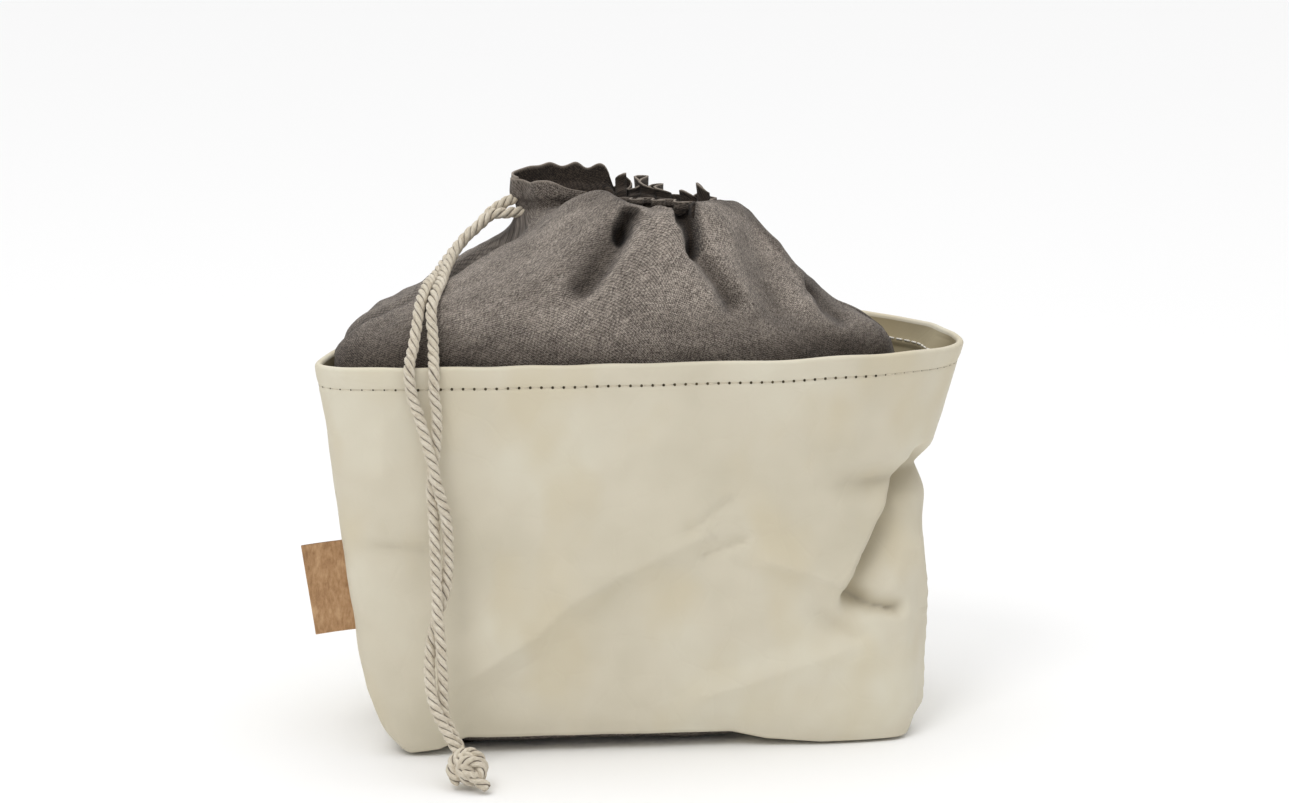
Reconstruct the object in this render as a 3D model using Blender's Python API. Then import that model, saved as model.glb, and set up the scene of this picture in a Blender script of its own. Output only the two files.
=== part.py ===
"""Bread bag: a drawstring linen bag that stands in a cream washable-paper basket.

The frame has +Z up, +X to the viewer's right and -Y to the front. The origin is on the
floor under the bag. Tables are in millimetres; every finished mesh is in metres.
"""
import math
from collections import namedtuple

import bmesh
import bpy
import numpy as np
from mathutils import Vector

MM = 0.001

# Driving dimensions
RIM_HEIGHT = 177.0
PAPER_THICKNESS = 1.5
HEM_THICKNESS = 3.2
HEM_DEPTH = 9.5
LINEN_THICKNESS = 1.0
CORD_DIAMETER = 5.0
CORD_LAY = 13.0
KNOT_DIAMETER = 18.0
LABEL_FOOT = 54.5
LABEL_HEIGHT = 41.0
LABEL_WIDTH = 18.0
LABEL_THICKNESS = 1.6
LABEL_COLUMN = 3
TOUCH_GAP = 0.7

# How finely each surface is divided
PAPER_AROUND = 72
LINEN_AROUND = 88
STEPS_PER_LAY = 8

# A level outline of a bag: the height and the reach of its four sides, where the reaches
# are measured from, how square its left and right corners are, how far the cloth is
# gathered towards the drawn neck, and how far the left side leans inwards at the back.
Section = namedtuple("Section", "z_left z_front z_right z_back left front right back "
                                "middle_x middle_y square_left square_right gather skew")

# The paper basket, from the fold at its foot to its rim.
PAPER_SECTIONS = [
    Section(3, 3, 3, 3, -115.5, -50, 118, 78, -40, 8, 12, 12, 0, 16),
    Section(14, 14, 14, 14, -123.5, -53, 121, 80, -40, 6, 11, 9, 0, 18),
    Section(36, 36, 36, 36, -131.8, -55, 123, 80, -40, 4, 9, 6, 0, 21),
    Section(62, 62, 62, 62, -136.5, -57, 124.5, 79, -40, 2, 8, 4, 0, 25),
    Section(92, 92, 92, 92, -141.8, -59, 126, 78, -40, 0, 7, 3, 0, 30),
    Section(120, 120, 120, 120, -146.4, -61, 129, 78, -40, -2, 6.5, 2.5, 0, 35),
    Section(148, 148, 148, 148, -150.6, -62, 136, 80, -40, -4, 6, 2.4, 0, 41),
    Section(RIM_HEIGHT, RIM_HEIGHT, RIM_HEIGHT - 0.5, RIM_HEIGHT + 7,
            -155, -62.5, 143, 86, -40, -5, 6, 2.6, 0, 46),
]

# The linen bag, from the edge of its floor, past the rim, over its shoulders to the
# drawn neck, and up the ruffled header to its lip.
LINEN_SECTIONS = [
    Section(2.4, 2.4, 2.4, 2.4, -101.5, -36, 106, 62, -36, 8, 5, 4.5, 0, 16),
    Section(10, 10, 10, 10, -110.5, -43, 113, 69, -36, 8, 5, 4, 0, 17),
    Section(45, 45, 45, 45, -125.5, -48, 116, 71, -36, 6, 5, 3.2, 0, 22),
    Section(95, 95, 95, 95, -136, -51, 113, 70, -36, 4, 5, 2.6, 0, 30),
    Section(140, 140, 140, 140, -144, -54, 113, 69, -36, 2, 5, 2.4, 0, 39),
    Section(170, 170, 170, 170, -148, -56, 113, 68, -36, 0, 5, 2.3, 0, 44),
    Section(183, 188, 183, 189, -147, -55.5, 105, 66, -35, 0, 3.7, 2.3, 0.05, 37),
    Section(193, 203, 193, 203, -135, -53, 87.5, 62, -33, 0, 3, 2.3, 0.15, 30),
    Section(201, 215, 205, 215, -114, -48.5, 74.5, 55, -30, 0, 2.7, 2.3, 0.3, 21),
    Section(210, 227, 217, 226, -98.5, -42, 62, 46, -26, 0, 2.5, 2.2, 0.5, 13),
    Section(219, 237, 228, 236, -77, -34, 51, 36, -22, 1, 2.4, 2.1, 0.7, 6),
    Section(227, 242.5, 233, 241.5, -61, -25, 42, 27, -18, 1, 2.6, 1.9, 0.88, 0),
    Section(236, 239, 230, 238, -56.5, -13.5, 38, 18, -14, 2, 3, 1.9, 1, 0),
    Section(243, 243.5, 235, 246, -58.5, -15, 39.5, 20.5, -14, 2, 3, 1.9, 1, 0),
    Section(250, 247.5, 237, 254, -58, -14.5, 39, 21, -14, 2, 3, 1.9, 1, 0),
]
NECK_ROW = 12

# The lip of the header, at places 0 to 8 round it from the left by the front: it stands
# tall round the open left pocket and lies lower where the cloth is drawn tight.
LIP_HEIGHTS = [(0, 250), (1, 249.5), (1.6, 246), (2, 244), (2.35, 247), (2.65, 246), (3, 241),
               (3.4, 241.5), (3.7, 245), (4, 236), (4.4, 241), (4.8, 241), (5.2, 245),
               (5.7, 247), (5.95, 247), (6.12, 252), (6.4, 254), (7, 254.5), (7.5, 253), (8, 250)]

# Share of each bag's cloth that lies along the eight spans of an outline, which run from
# the left round the front: side to corner, corner to middle, and so on.
PAPER_SPANS = [5, 10, 14, 9, 6, 12, 11, 5]
NECK_SPANS = [5, 8, 18, 17, 17, 16, 9, 6]

# The fold along the foot of the front wall: how high it stands off the floor at each x.
FOOT_LIFT = [(-112, 1.5), (-96, 4), (-84, 10), (34, 9), (50, 4.5), (74, 1.8), (120, 1.8)]
SIDE_LIFT = 3.5

# A crease runs along a path on one face of a bag, seen square on: (x, z) on the front and
# the back, (y, z) on the left and the right. It rises (+) or sinks (-) by height, and
# fades over one width above (or left of) its path and another below.
Crease = namedtuple("Crease", "face path height above below crisp")

PAPER_CREASES = [
    Crease("front", [(16, 98), (-18, 82), (-38, 71), (-54, 56), (-88, 34)], 7.0, 34, 17, 0.7),
    Crease("front", [(14, 103), (32, 115)], -2.2, 6, 9, 1.0),
    Crease("front", [(21, 91), (38, 96)], -2.2, 7, 5, 1.0),
    Crease("front", [(-123, 98), (-103, 96)], -3.2, 7, 16, 0.8),
    Crease("front", [(-119, 150), (-120, 130)], 1.2, 8, 10, 0.6),
    Crease("front", [(48, 86), (66, 80), (86, 71)], 4.5, 18, 9, 0.8),
    Crease("front", [(74, 60), (90, 49)], -4.0, 12, 13, 0.4),
    Crease("front", [(20, 25), (56, 36), (94, 47)], 3.6, 13, 16, 0.6),
    Crease("front", [(86, 69), (98, 62), (110, 59)], -6.5, 9, 6, 0.9),
    Crease("front", [(87, 71), (100, 94), (111, 113), (118, 124)], -10.0, 3, 20, 0.8),
    Crease("right", [(-44, 118), (-10, 119), (18, 121)], -6.0, 9, 13, 0.9),
    Crease("right", [(-26, 12), (-22, 55), (-30, 84)], 4.0, 14, 12, 0.7),
    Crease("right", [(20, 8), (14, 60), (20, 120), (16, 165)], -5.0, 20, 18, 0.5),
    Crease("left", [(6, 8), (4, 60), (10, 110)], -3.5, 22, 20, 0.5),
    Crease("left", [(12, 120), (34, 150)], 2.5, 14, 10, 0.6),
    Crease("back", [(-96, 40), (-50, 66), (-8, 92), (20, 120)], 4.0, 30, 20, 0.6),
    Crease("back", [(24, 84), (58, 62), (96, 52)], -4.0, 16, 24, 0.5),
    Crease("back", [(70, 150), (60, 118)], 2.5, 16, 14, 0.5),
    Crease("back", [(-104, 132), (-80, 112)], -2.6, 10, 14, 0.7),
]

LINEN_CREASES = [
    Crease("front", [(-15, 244), (-16, 233), (-26, 220), (-33, 206)], -7.5, 8, 7, 0.2),
    Crease("front", [(-8, 240), (-14, 226), (-28, 206), (-46, 190)], 3.0, 8, 12, 0.1),
    Crease("front", [(14, 244), (16, 232), (18, 219), (28, 208)], -8.0, 7, 9, 0.3),
    Crease("front", [(6, 236), (9, 218), (24, 202)], 2.6, 8, 9, 0.1),
    Crease("front", [(47, 216), (50, 200)], -3.4, 10, 10, 0.1),
    Crease("front", [(70, 195), (76, 184)], -3.6, 9, 10, 0.2),
    Crease("front", [(84, 193), (92, 184)], 2.0, 10, 10, 0.1),
    Crease("front", [(-96, 203), (-60, 214), (-38, 230)], 2.2, 14, 16, 0.0),
    Crease("right", [(2, 218), (4, 200), (0, 184)], -7.0, 10, 9, 0.2),
    Crease("back", [(20, 240), (26, 222), (44, 200)], -5.5, 11, 12, 0.1),
    Crease("back", [(-6, 240), (-12, 220), (-24, 196)], -5.0, 11, 11, 0.1),
    Crease("back", [(-36, 238), (-56, 216), (-86, 196)], -4.0, 13, 13, 0.1),
    Crease("left", [(-12, 224), (-18, 206), (-24, 188)], -3.0, 11, 12, 0.1),
]

# The two legs of the drawstring, followed as a pair: the middle of the pair, half the
# distance between the legs, and the way the left leg lies from the middle, where 0 is
# left of it, 90 in front of it and 180 right of it.
PairPoint = namedtuple("PairPoint", "x y z half_gap turn")
CORD_ROUTE = [
    PairPoint(-61.8, -3.0, 237.1, 2.85, -45),
    PairPoint(-68.1, -4.0, 235.1, 2.85, -85),
    PairPoint(-74.5, -6.0, 229.7, 2.85, -98),
    PairPoint(-80.8, -9.0, 224.5, 2.85, -98),
    PairPoint(-87.4, -15.5, 217.5, 2.85, -92),
    PairPoint(-92.8, -28.4, 211.4, 2.85, -75),
    PairPoint(-96.6, -41.8, 207.9, 2.85, -50),
    PairPoint(-99.4, -50.9, 203.0, 2.85, -35),
    PairPoint(-100.3, -54.6, 197.8, 2.9, -18),
    PairPoint(-100.7, -57.2, 190.9, 3.7, -6),
    PairPoint(-101.3, -59.5, 184.5, 4.4, 0),
    PairPoint(-102.0, -62.6, 180.3, 5.0, 0),
    PairPoint(-102.4, -66.2, 175.4, 5.3, 0),
    PairPoint(-101.9, -67.0, 166.4, 4.7, 2),
    PairPoint(-100.1, -67.6, 158.2, 3.9, 8),
    PairPoint(-98.8, -69.0, 147.1, 2.9, 36),
    PairPoint(-98.1, -70.0, 137.7, 2.85, 80),
    PairPoint(-97.4, -70.5, 125.6, 2.85, 120),
    PairPoint(-95.5, -71.0, 112.5, 2.85, 160),
    PairPoint(-94.9, -71.5, 95.8, 2.85, 190),
    PairPoint(-95.5, -73.0, 81.6, 2.85, 225),
    PairPoint(-97.0, -75.0, 72.5, 2.85, 262),
    PairPoint(-98.1, -77.5, 61.2, 2.85, 310),
    PairPoint(-98.4, -80.0, 49.4, 2.85, 345),
    PairPoint(-97.8, -83.5, 36.2, 2.85, 400),
    PairPoint(-95.9, -86.0, 28.4, 2.85, 430),
    PairPoint(-90.6, -90.4, 18.0, 2.85, 440),
]
KNOT_CENTRE = Vector((-86.4, -95.6, 9.2))
# Lumps of the knot, each along a direction from its centre: how far it stands out and how
# wide it is, as an angle.
KnotLump = namedtuple("KnotLump", "x y z height width")
KNOT_LUMPS = [
    KnotLump(0.85, -0.30, -0.42, 4.4, 26),
    KnotLump(0.10, -0.95, 0.05, 2.2, 24),
    KnotLump(-0.53, 0.57, 0.63, 0.8, 34),
]

# Colours as seen, in 0 to 255 sRGB
PAPER_COLOUR = (212, 204, 184)
LINEN_COLOUR = (133, 124, 114)
CORD_COLOUR = (203, 190, 168)
LABEL_COLOUR = (164, 126, 90)


def linear(colour):
    """A 0 to 255 sRGB colour as the linear colour a shader takes."""
    parts = [value / 255 for value in colour]
    return [v / 12.92 if v <= 0.04045 else ((v + 0.055) / 1.055) ** 2.4 for v in parts] + [1.0]


def make_material(name, colour, roughness):
    """A plain Principled finish for one piece."""
    material = bpy.data.materials.new(name)
    material.use_nodes = True
    shader = material.node_tree.nodes["Principled BSDF"]
    shader.inputs["Base Color"].default_value = linear(colour)
    shader.inputs["Roughness"].default_value = roughness
    shader.inputs["Metallic"].default_value = 0.0
    return material


def smooth_read(table, at):
    """Read a table of evenly keyed rows at fractional row numbers, on a smooth curve."""
    table = np.asarray(table, float)
    at = np.clip(np.asarray(at, float), 0, len(table) - 1)
    low = np.minimum(at.astype(int), len(table) - 2)
    part = (at - low)[..., None]
    before = table[np.maximum(low - 1, 0)]
    start = table[low]
    end = table[low + 1]
    after = table[np.minimum(low + 2, len(table) - 1)]
    slope_start = (end - before) / 2
    slope_end = (after - start) / 2
    return ((2 * part**3 - 3 * part**2 + 1) * start + (part**3 - 2 * part**2 + part) * slope_start
            + (3 * part**2 - 2 * part**3) * end + (part**3 - part**2) * slope_end)


def row_at(sections, height):
    """The fractional row of a table whose left side stands at a height."""
    rows = np.linspace(0, len(sections) - 1, 50 * len(sections))
    return np.interp(height, smooth_read(sections, rows)[:, 0], rows)


def span_positions(spans, count):
    """Where each of count even steps of cloth lies on the eight spans of an outline."""
    reached = np.concatenate([[0], np.cumsum(spans)]) / sum(spans)
    return np.interp(np.arange(count) / count, reached, np.arange(9))


def outline(section, places):
    """Points of one outline at the given places, 0 to 8, from the left round the front."""
    fine = np.linspace(0, 1, 25)
    points = np.zeros((len(places), 3))
    for span in range(8):
        angles = math.pi * (1 + (span + fine) / 4)
        across = np.cos(angles)
        along = np.sin(angles)
        power = 2 / np.where(across < 0, section.square_left, section.square_right)
        reach_y = np.where(along < 0, section.middle_y - section.front, section.back - section.middle_y)
        y = section.middle_y + reach_y * np.sign(along) * np.abs(along) ** power
        depth = (y - section.front) / (section.back - section.front)
        reach_left = section.middle_x - section.left - section.skew * depth
        reach_x = np.where(across < 0, reach_left, section.right - section.middle_x)
        x = section.middle_x + reach_x * np.sign(across) * np.abs(across) ** power
        side_z = np.where(across < 0, section.z_left, section.z_right)
        end_z = np.where(along < 0, section.z_front, section.z_back)
        z = side_z + (end_z - side_z) * along**4
        length = np.concatenate([[0], np.cumsum(np.hypot(np.diff(x), np.diff(y)))])
        here = (places >= span) & (places < span + 1)
        wanted = (places[here] - span) * length[-1]
        points[here] = np.stack([np.interp(wanted, length, values) for values in (x, y, z)], axis=1)
    return points


def surface(sections, rows, body_places, neck_places):
    """A grid of points: one outline for each fractional row of a table of sections."""
    grid = []
    for values in smooth_read(sections, rows):
        section = Section(*values)
        gather = min(max(section.gather, 0), 1)
        grid.append(outline(section, body_places * (1 - gather) + neck_places * gather))
    return np.array(grid)


def grid_normals(grid):
    """The outward direction at each point of a grid that closes on itself sideways."""
    around = np.roll(grid, -1, axis=1) - np.roll(grid, 1, axis=1)
    upward = np.gradient(grid, axis=0)
    normals = np.cross(around, upward)
    return normals / np.linalg.norm(normals, axis=2, keepdims=True)


def level_normals(grid):
    """The outward direction at each point, kept level."""
    around = np.roll(grid, -1, axis=1) - np.roll(grid, 1, axis=1)
    level = np.stack([around[..., 1], -around[..., 0], np.zeros(grid.shape[:2])], axis=2)
    return level / np.linalg.norm(level, axis=2, keepdims=True)


def inner_wall_of(grid, thickness):
    """The same grid moved inwards, so that the wall keeps its thickness in tight folds."""
    around = np.roll(grid, -1, axis=1) - np.roll(grid, 1, axis=1)
    side = (around[1:] + around[:-1]) / 2
    faces = np.cross(side, np.diff(grid, axis=0))
    faces /= np.linalg.norm(faces, axis=2, keepdims=True)
    below = np.concatenate([faces[:1], faces])
    above = np.concatenate([faces, faces[-1:]])
    middle = below + above
    middle /= np.linalg.norm(middle, axis=2, keepdims=True)
    lengthen = 1 / np.clip(np.sum(middle * above, axis=2, keepdims=True), 0.5, 1)
    return grid - middle * lengthen * thickness


def path_offset(path, across, up):
    """Distance from a path, and whether a point lies above or left of it (+1) or not (-1)."""
    nearest = np.full(across.shape, np.inf)
    side = np.zeros(across.shape)
    for (x0, z0), (x1, z1) in zip(path, path[1:]):
        run = np.array([x1 - x0, z1 - z0], float)
        if run[0] < 0 or (run[0] == 0 and run[1] < 0):
            x0, z0, run = x1, z1, -run
        size = np.hypot(*run)
        along = np.clip(((across - x0) * run[0] + (up - z0) * run[1]) / size**2, 0, 1)
        off_x = across - x0 - along * run[0]
        off_z = up - z0 - along * run[1]
        distance = np.hypot(off_x, off_z)
        turned = (run[0] * off_z - run[1] * off_x) / size
        closer = distance < nearest
        nearest = np.where(closer, distance, nearest)
        side = np.where(closer, turned / np.maximum(distance, 1e-6), side)
    return nearest, side


def crease_height(creases, grid, normals):
    """How far the creases raise or sink each point of a surface."""
    height = np.zeros(grid.shape[:2])
    facing = {"front": -normals[..., 1], "back": normals[..., 1],
              "left": -normals[..., 0], "right": normals[..., 0]}
    for crease in creases:
        across = grid[..., 0] if crease.face in ("front", "back") else grid[..., 1]
        distance, side = path_offset(crease.path, across, grid[..., 2])
        width = crease.below + (crease.above - crease.below) * (0.5 + 0.5 * side)
        reach = np.clip(distance / width, 0, 1)
        sharp = (1 - reach) ** 2
        soft = (1 - reach**2) ** 2
        turned_to = np.clip((facing[crease.face] + 0.1) / 0.5, 0, 1)
        height += crease.height * turned_to * (sharp * crease.crisp + soft * (1 - crease.crisp))
    return height


def close_shell(name, outer, inner):
    """One solid from an outer and an inner grid, joined at the lip, each with a flat floor.

    Both walls split each of their four-sided faces along the same diagonal, so that the
    thin wall keeps its thickness where it twists.
    """
    mesh = bmesh.new()
    rings = []
    for points in list(outer) + list(inner[::-1]):
        rings.append([mesh.verts.new(point * MM) for point in points])
    for index, (near, far) in enumerate(zip(rings, rings[1:])):
        count = len(near)
        for i in range(count):
            after = (i + 1) % count
            if index < len(outer):
                mesh.faces.new([near[i], near[after], far[after]])
                mesh.faces.new([near[i], far[after], far[i]])
            else:
                mesh.faces.new([near[i], near[after], far[i]])
                mesh.faces.new([near[after], far[after], far[i]])
    mesh.faces.new(rings[0][::-1])
    mesh.faces.new(rings[-1])
    return finish(name, mesh, 50)


def finish(name, mesh, sharp_angle):
    """Turn a bmesh into a named object with smooth faces and crisp edges."""
    bmesh.ops.triangulate(mesh, faces=[face for face in mesh.faces if len(face.verts) > 4])
    data = bpy.data.meshes.new(name)
    mesh.to_mesh(data)
    mesh.free()
    data.shade_smooth()
    data.set_sharp_from_angle(angle=math.radians(sharp_angle))
    piece = bpy.data.objects.new(name, data)
    bpy.context.scene.collection.objects.link(piece)
    return piece


def paper_surface(rows, count):
    """The creased outer face of the paper basket, at fractional rows of its table."""
    places = span_positions(PAPER_SPANS, count)
    grid = surface(PAPER_SECTIONS, rows, places, places)
    lift_front = np.interp(grid[..., 0], *zip(*FOOT_LIFT))
    normals = grid_normals(grid)
    frontness = np.clip(-normals[..., 1] * 2 - 0.6, 0, 1)
    lift = SIDE_LIFT + (lift_front - SIDE_LIFT) * frontness
    low = np.clip(1 - (grid[..., 2] - 3) / 33, 0, 1)
    grid[..., 2] += (lift - 3) * low
    level = level_normals(grid)
    return grid + level * crease_height(PAPER_CREASES, grid, normals)[..., None], level


def make_paper_bag():
    """The basket: outer wall, folded-in hem and flat floor in one shell."""
    top = len(PAPER_SECTIONS) - 1
    hem_foot = row_at(PAPER_SECTIONS, RIM_HEIGHT - HEM_DEPTH)
    rows = np.concatenate([np.linspace(0, top - 1, 2 * top - 1), [hem_foot - 0.035, hem_foot, top]])
    wall, level = paper_surface(rows, PAPER_AROUND)
    wall[-1, :, 2] -= HEM_THICKNESS / 2
    foot = wall[0]
    lift = foot[:, 2:3]
    under = np.stack([foot - level[0] * (0.5 + 0.85 * lift), foot - level[0] * (0.1 + 0.25 * lift)])
    under[0, :, 2] = 0
    under[1, :, 2] = foot[:, 2] * 0.38
    crown = wall[-1] - level[-1] * HEM_THICKNESS / 2
    crown[:, 2] += HEM_THICKNESS / 2
    outer = np.concatenate([under, wall, crown[None]])
    floor_edge = under[0] - level[0] * 2.2
    floor_edge[:, 2] = PAPER_THICKNESS
    inner_wall = wall[:-2] - level[:-2] * PAPER_THICKNESS
    inner_wall[0, :, 2] += 1.2
    hem = wall[-2:] - level[-2:] * HEM_THICKNESS
    inner = np.concatenate([floor_edge[None], inner_wall, hem])
    return close_shell("paper_bag", outer, inner)


def ruffle(places):
    """How far the gathered cloth folds in and out round the neck, in millimetres."""
    drawn = np.clip(places - 1.6, 0, 1) * np.clip(6.4 - places, 0, 1)
    tight = 2.6 * np.sin((places - 2) * math.pi * 4 + 0.5 * np.sin(places * 2.1))
    tight *= np.clip(np.abs(places - 4) / 0.7, 0.1, 1)
    loose = 1.3 * np.sin(places * math.pi * 1.9 + 0.7)
    return tight * drawn + loose * (1 - drawn)


def linen_surface(rows, count):
    """The outer face of the linen bag, at fractional rows of its table."""
    body = span_positions(PAPER_SPANS, count)
    neck = span_positions(NECK_SPANS, count)
    grid = surface(LINEN_SECTIONS, rows, body, neck)
    above_neck = np.clip((rows - NECK_ROW) / (len(LINEN_SECTIONS) - 1 - NECK_ROW), 0, 1)[:, None]
    lip = np.interp(neck, *zip(*LIP_HEIGHTS))
    neck_line = np.interp(NECK_ROW, rows, range(len(rows)))
    low = grid[int(neck_line), :, 2]
    grid[..., 2] = np.where(above_neck > 0, low + (lip - low) * above_neck, grid[..., 2])
    normals = grid_normals(grid)
    height = crease_height(LINEN_CREASES, grid, normals)
    rise = np.clip((rows - NECK_ROW + 3) / 3, 0, 1) ** 2
    fold = normals * (height * (1 - rise[:, None]))[..., None]
    wave = level_normals(grid) * (ruffle(neck)[None] * rise[:, None])[..., None]
    return grid + fold + wave


def make_linen_liner():
    """The linen bag: floor, hidden wall, shoulders, drawn neck and open ruffled header."""
    low = np.array([0, 1, 2, 3, 4, 5, 5.5])
    rows = np.concatenate([low, np.arange(6, len(LINEN_SECTIONS))])
    outer = linen_surface(rows, LINEN_AROUND)
    inner = inner_wall_of(outer, LINEN_THICKNESS)
    inner[0] = outer[0] - level_normals(outer)[0] * LINEN_THICKNESS * 2
    inner[0, :, 2] = outer[0, :, 2] + LINEN_THICKNESS
    return close_shell("linen_liner", outer, inner)


def make_side_label():
    """A folded kraft tab that stands out of the seam at the left, near the front corner."""
    keys = row_at(PAPER_SECTIONS, np.linspace(LABEL_FOOT, LABEL_FOOT + LABEL_HEIGHT, 7))
    wall, _ = paper_surface(keys, PAPER_AROUND)
    columns = np.linspace(0, 1, 4)
    mesh = bmesh.new()
    rings = []
    for up, (x, y, z) in zip(np.linspace(0, 1, 7), wall[:, LABEL_COLUMN]):
        ring = []
        for face, row in ((-0.5, columns), (0.5, columns[::-1])):
            for out in row:
                bend = 0.8 * math.sin(up * math.pi) * out - 2.0 * out**2
                ring.append(mesh.verts.new(Vector((x - TOUCH_GAP - LABEL_WIDTH * out,
                                                   y + face * LABEL_THICKNESS + bend,
                                                   z - 1.6 * out)) * MM))
        rings.append(ring)
    for lower, upper in zip(rings, rings[1:]):
        for i in range(8):
            after = (i + 1) % 8
            mesh.faces.new([lower[after], lower[i], upper[i], upper[after]])
    mesh.faces.new(rings[0])
    mesh.faces.new(rings[-1][::-1])
    return finish("side_label", mesh, 40)


def leg_frames(route):
    """Directions along a route, and a steady pair of directions across it."""
    ahead = np.gradient(route, axis=0)
    ahead /= np.linalg.norm(ahead, axis=1, keepdims=True)
    across = [np.cross([0, -1.0, 0.2], ahead[0])]
    for direction in ahead[1:]:
        carried = across[-1] - direction * np.dot(across[-1], direction)
        across.append(carried / np.linalg.norm(carried))
    across[0] /= np.linalg.norm(across[0])
    across = np.array(across)
    return ahead, across, np.cross(ahead, across)


def even_route(points, step):
    """The same route with points an even step apart."""
    length = np.concatenate([[0], np.cumsum(np.linalg.norm(np.diff(points, axis=0), axis=1))])
    count = max(2, int(round(length[-1] / step)) + 1)
    wanted = np.linspace(0, length[-1], count)
    return np.stack([np.interp(wanted, length, points[:, axis]) for axis in range(3)], axis=1)


def leg_route(side):
    """The centre line of one leg: +1 is the leg that starts on the left, -1 the other."""
    fine = smooth_read(CORD_ROUTE, np.linspace(0, len(CORD_ROUTE) - 1, 30 * len(CORD_ROUTE)))
    middle, half_gap, turn = fine[:, :3], fine[:, 3:4], np.radians(fine[:, 4:5])
    ahead = np.gradient(middle, axis=0)
    ahead /= np.linalg.norm(ahead, axis=1, keepdims=True)
    left = np.cross(ahead, [0, -1.0, 0])
    left = np.where(left[:, :1] > 0, -left, left)
    left /= np.linalg.norm(left, axis=1, keepdims=True)
    front = np.cross(left, ahead)
    front = np.where(front[:, 1:2] > 0, -front, front)
    return middle + side * half_gap * (left * np.cos(turn) + front * np.sin(turn))


def make_cord_leg(name, side):
    """One leg of twisted cord: three raised strands that wind round its centre line."""
    route = even_route(leg_route(side), CORD_LAY / STEPS_PER_LAY)
    ahead, across, outward = leg_frames(route)
    mesh = bmesh.new()
    rings = []
    for index, centre in enumerate(route):
        ring = []
        for corner in range(6):
            angle = math.tau * (corner / 6 - index / STEPS_PER_LAY)
            radius = CORD_DIAMETER / 2 * (1.0 if corner % 2 == 0 else 0.82)
            spoke = across[index] * math.cos(angle) + outward[index] * math.sin(angle)
            ring.append(mesh.verts.new((centre + spoke * radius) * MM))
        rings.append(ring)
    for near, far in zip(rings, rings[1:]):
        for i in range(6):
            after = (i + 1) % 6
            mesh.faces.new([near[i], near[after], far[after], far[i]])
    mesh.faces.new(rings[0][::-1])
    mesh.faces.new(rings[-1])
    return finish(name, mesh, 80)


def make_cord_knot():
    """The overhand knot: a wrapped ball with raised turns and two cut ends."""
    mesh = bmesh.new()
    bmesh.ops.create_icosphere(mesh, subdivisions=4, radius=1.0)
    for vert in mesh.verts:
        spoke = vert.co.normalized()
        turns = math.sin(3 * math.atan2(spoke.z, spoke.x) + 5 * spoke.y + 1.5 * spoke.x)
        radius = KNOT_DIAMETER / 2 * (0.93 + 0.07 * turns)
        for lump in KNOT_LUMPS:
            angle = math.degrees(spoke.angle(Vector(lump[:3])))
            radius += lump.height * max(0.0, 1 - (angle / lump.width) ** 2) ** 1.5
        vert.co = (KNOT_CENTRE + spoke * radius) * MM
    return finish("cord_knot", mesh, 60)


def main():
    for old in list(bpy.data.objects):
        bpy.data.objects.remove(old, do_unlink=True)
    finishes = {
        "paper_bag": make_material("washable_paper", PAPER_COLOUR, 0.72),
        "linen_liner": make_material("linen", LINEN_COLOUR, 0.88),
        "side_label": make_material("kraft_label", LABEL_COLOUR, 0.7),
        "cord_left": make_material("cotton_cord_left", CORD_COLOUR, 0.85),
        "cord_right": make_material("cotton_cord_right", CORD_COLOUR, 0.85),
        "cord_knot": make_material("cotton_knot", CORD_COLOUR, 0.85),
    }
    pieces = [
        make_paper_bag(),
        make_linen_liner(),
        make_side_label(),
        make_cord_leg("cord_left", 1),
        make_cord_leg("cord_right", -1),
        make_cord_knot(),
    ]
    for piece in pieces:
        piece.data.materials.append(finishes[piece.name])


main()
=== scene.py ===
# %% [markdown]
# # A bread bag
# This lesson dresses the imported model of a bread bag: a grey linen bag, drawn shut by a
# twisted cord, that stands in a basket sewn from cream washable paper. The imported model
# holds the true sizes, so each piece here is made in the same place, at a finer scale.

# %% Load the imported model
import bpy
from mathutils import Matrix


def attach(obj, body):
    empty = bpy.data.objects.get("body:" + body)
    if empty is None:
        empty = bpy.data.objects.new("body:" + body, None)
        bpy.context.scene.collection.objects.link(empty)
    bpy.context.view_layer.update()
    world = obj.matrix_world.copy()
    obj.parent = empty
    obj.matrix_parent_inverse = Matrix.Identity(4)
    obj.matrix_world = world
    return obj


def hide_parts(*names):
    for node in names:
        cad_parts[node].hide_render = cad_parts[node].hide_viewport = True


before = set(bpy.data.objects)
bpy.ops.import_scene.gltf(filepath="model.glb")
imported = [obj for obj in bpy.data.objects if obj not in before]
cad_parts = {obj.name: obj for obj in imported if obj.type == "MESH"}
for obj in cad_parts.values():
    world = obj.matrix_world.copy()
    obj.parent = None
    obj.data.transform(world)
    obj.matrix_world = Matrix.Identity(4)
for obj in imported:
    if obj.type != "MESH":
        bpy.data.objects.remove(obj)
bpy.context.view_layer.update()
print("pieces in the packed model:", ", ".join(sorted(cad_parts)))

# %% Tools and units
import math
from collections import namedtuple

import bmesh
import bpy
import numpy as np
from mathutils import Vector

MM = 0.001

# %% [markdown]
# ## The camera and the light
# The bag is seen from a little above and a little to its left, from about one and a half
# metres, which is why its sides hardly taper. A bright dome of light with one soft lamp on
# the left gives the mild shading of a product picture.

# %% Camera
CAMERA_PLACE = Vector((-0.1516, -1.4421, 0.44))
CAMERA_TARGET = Vector((0.0, 0.0, 0.148))
CAMERA_LENS = 91.8

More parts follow.
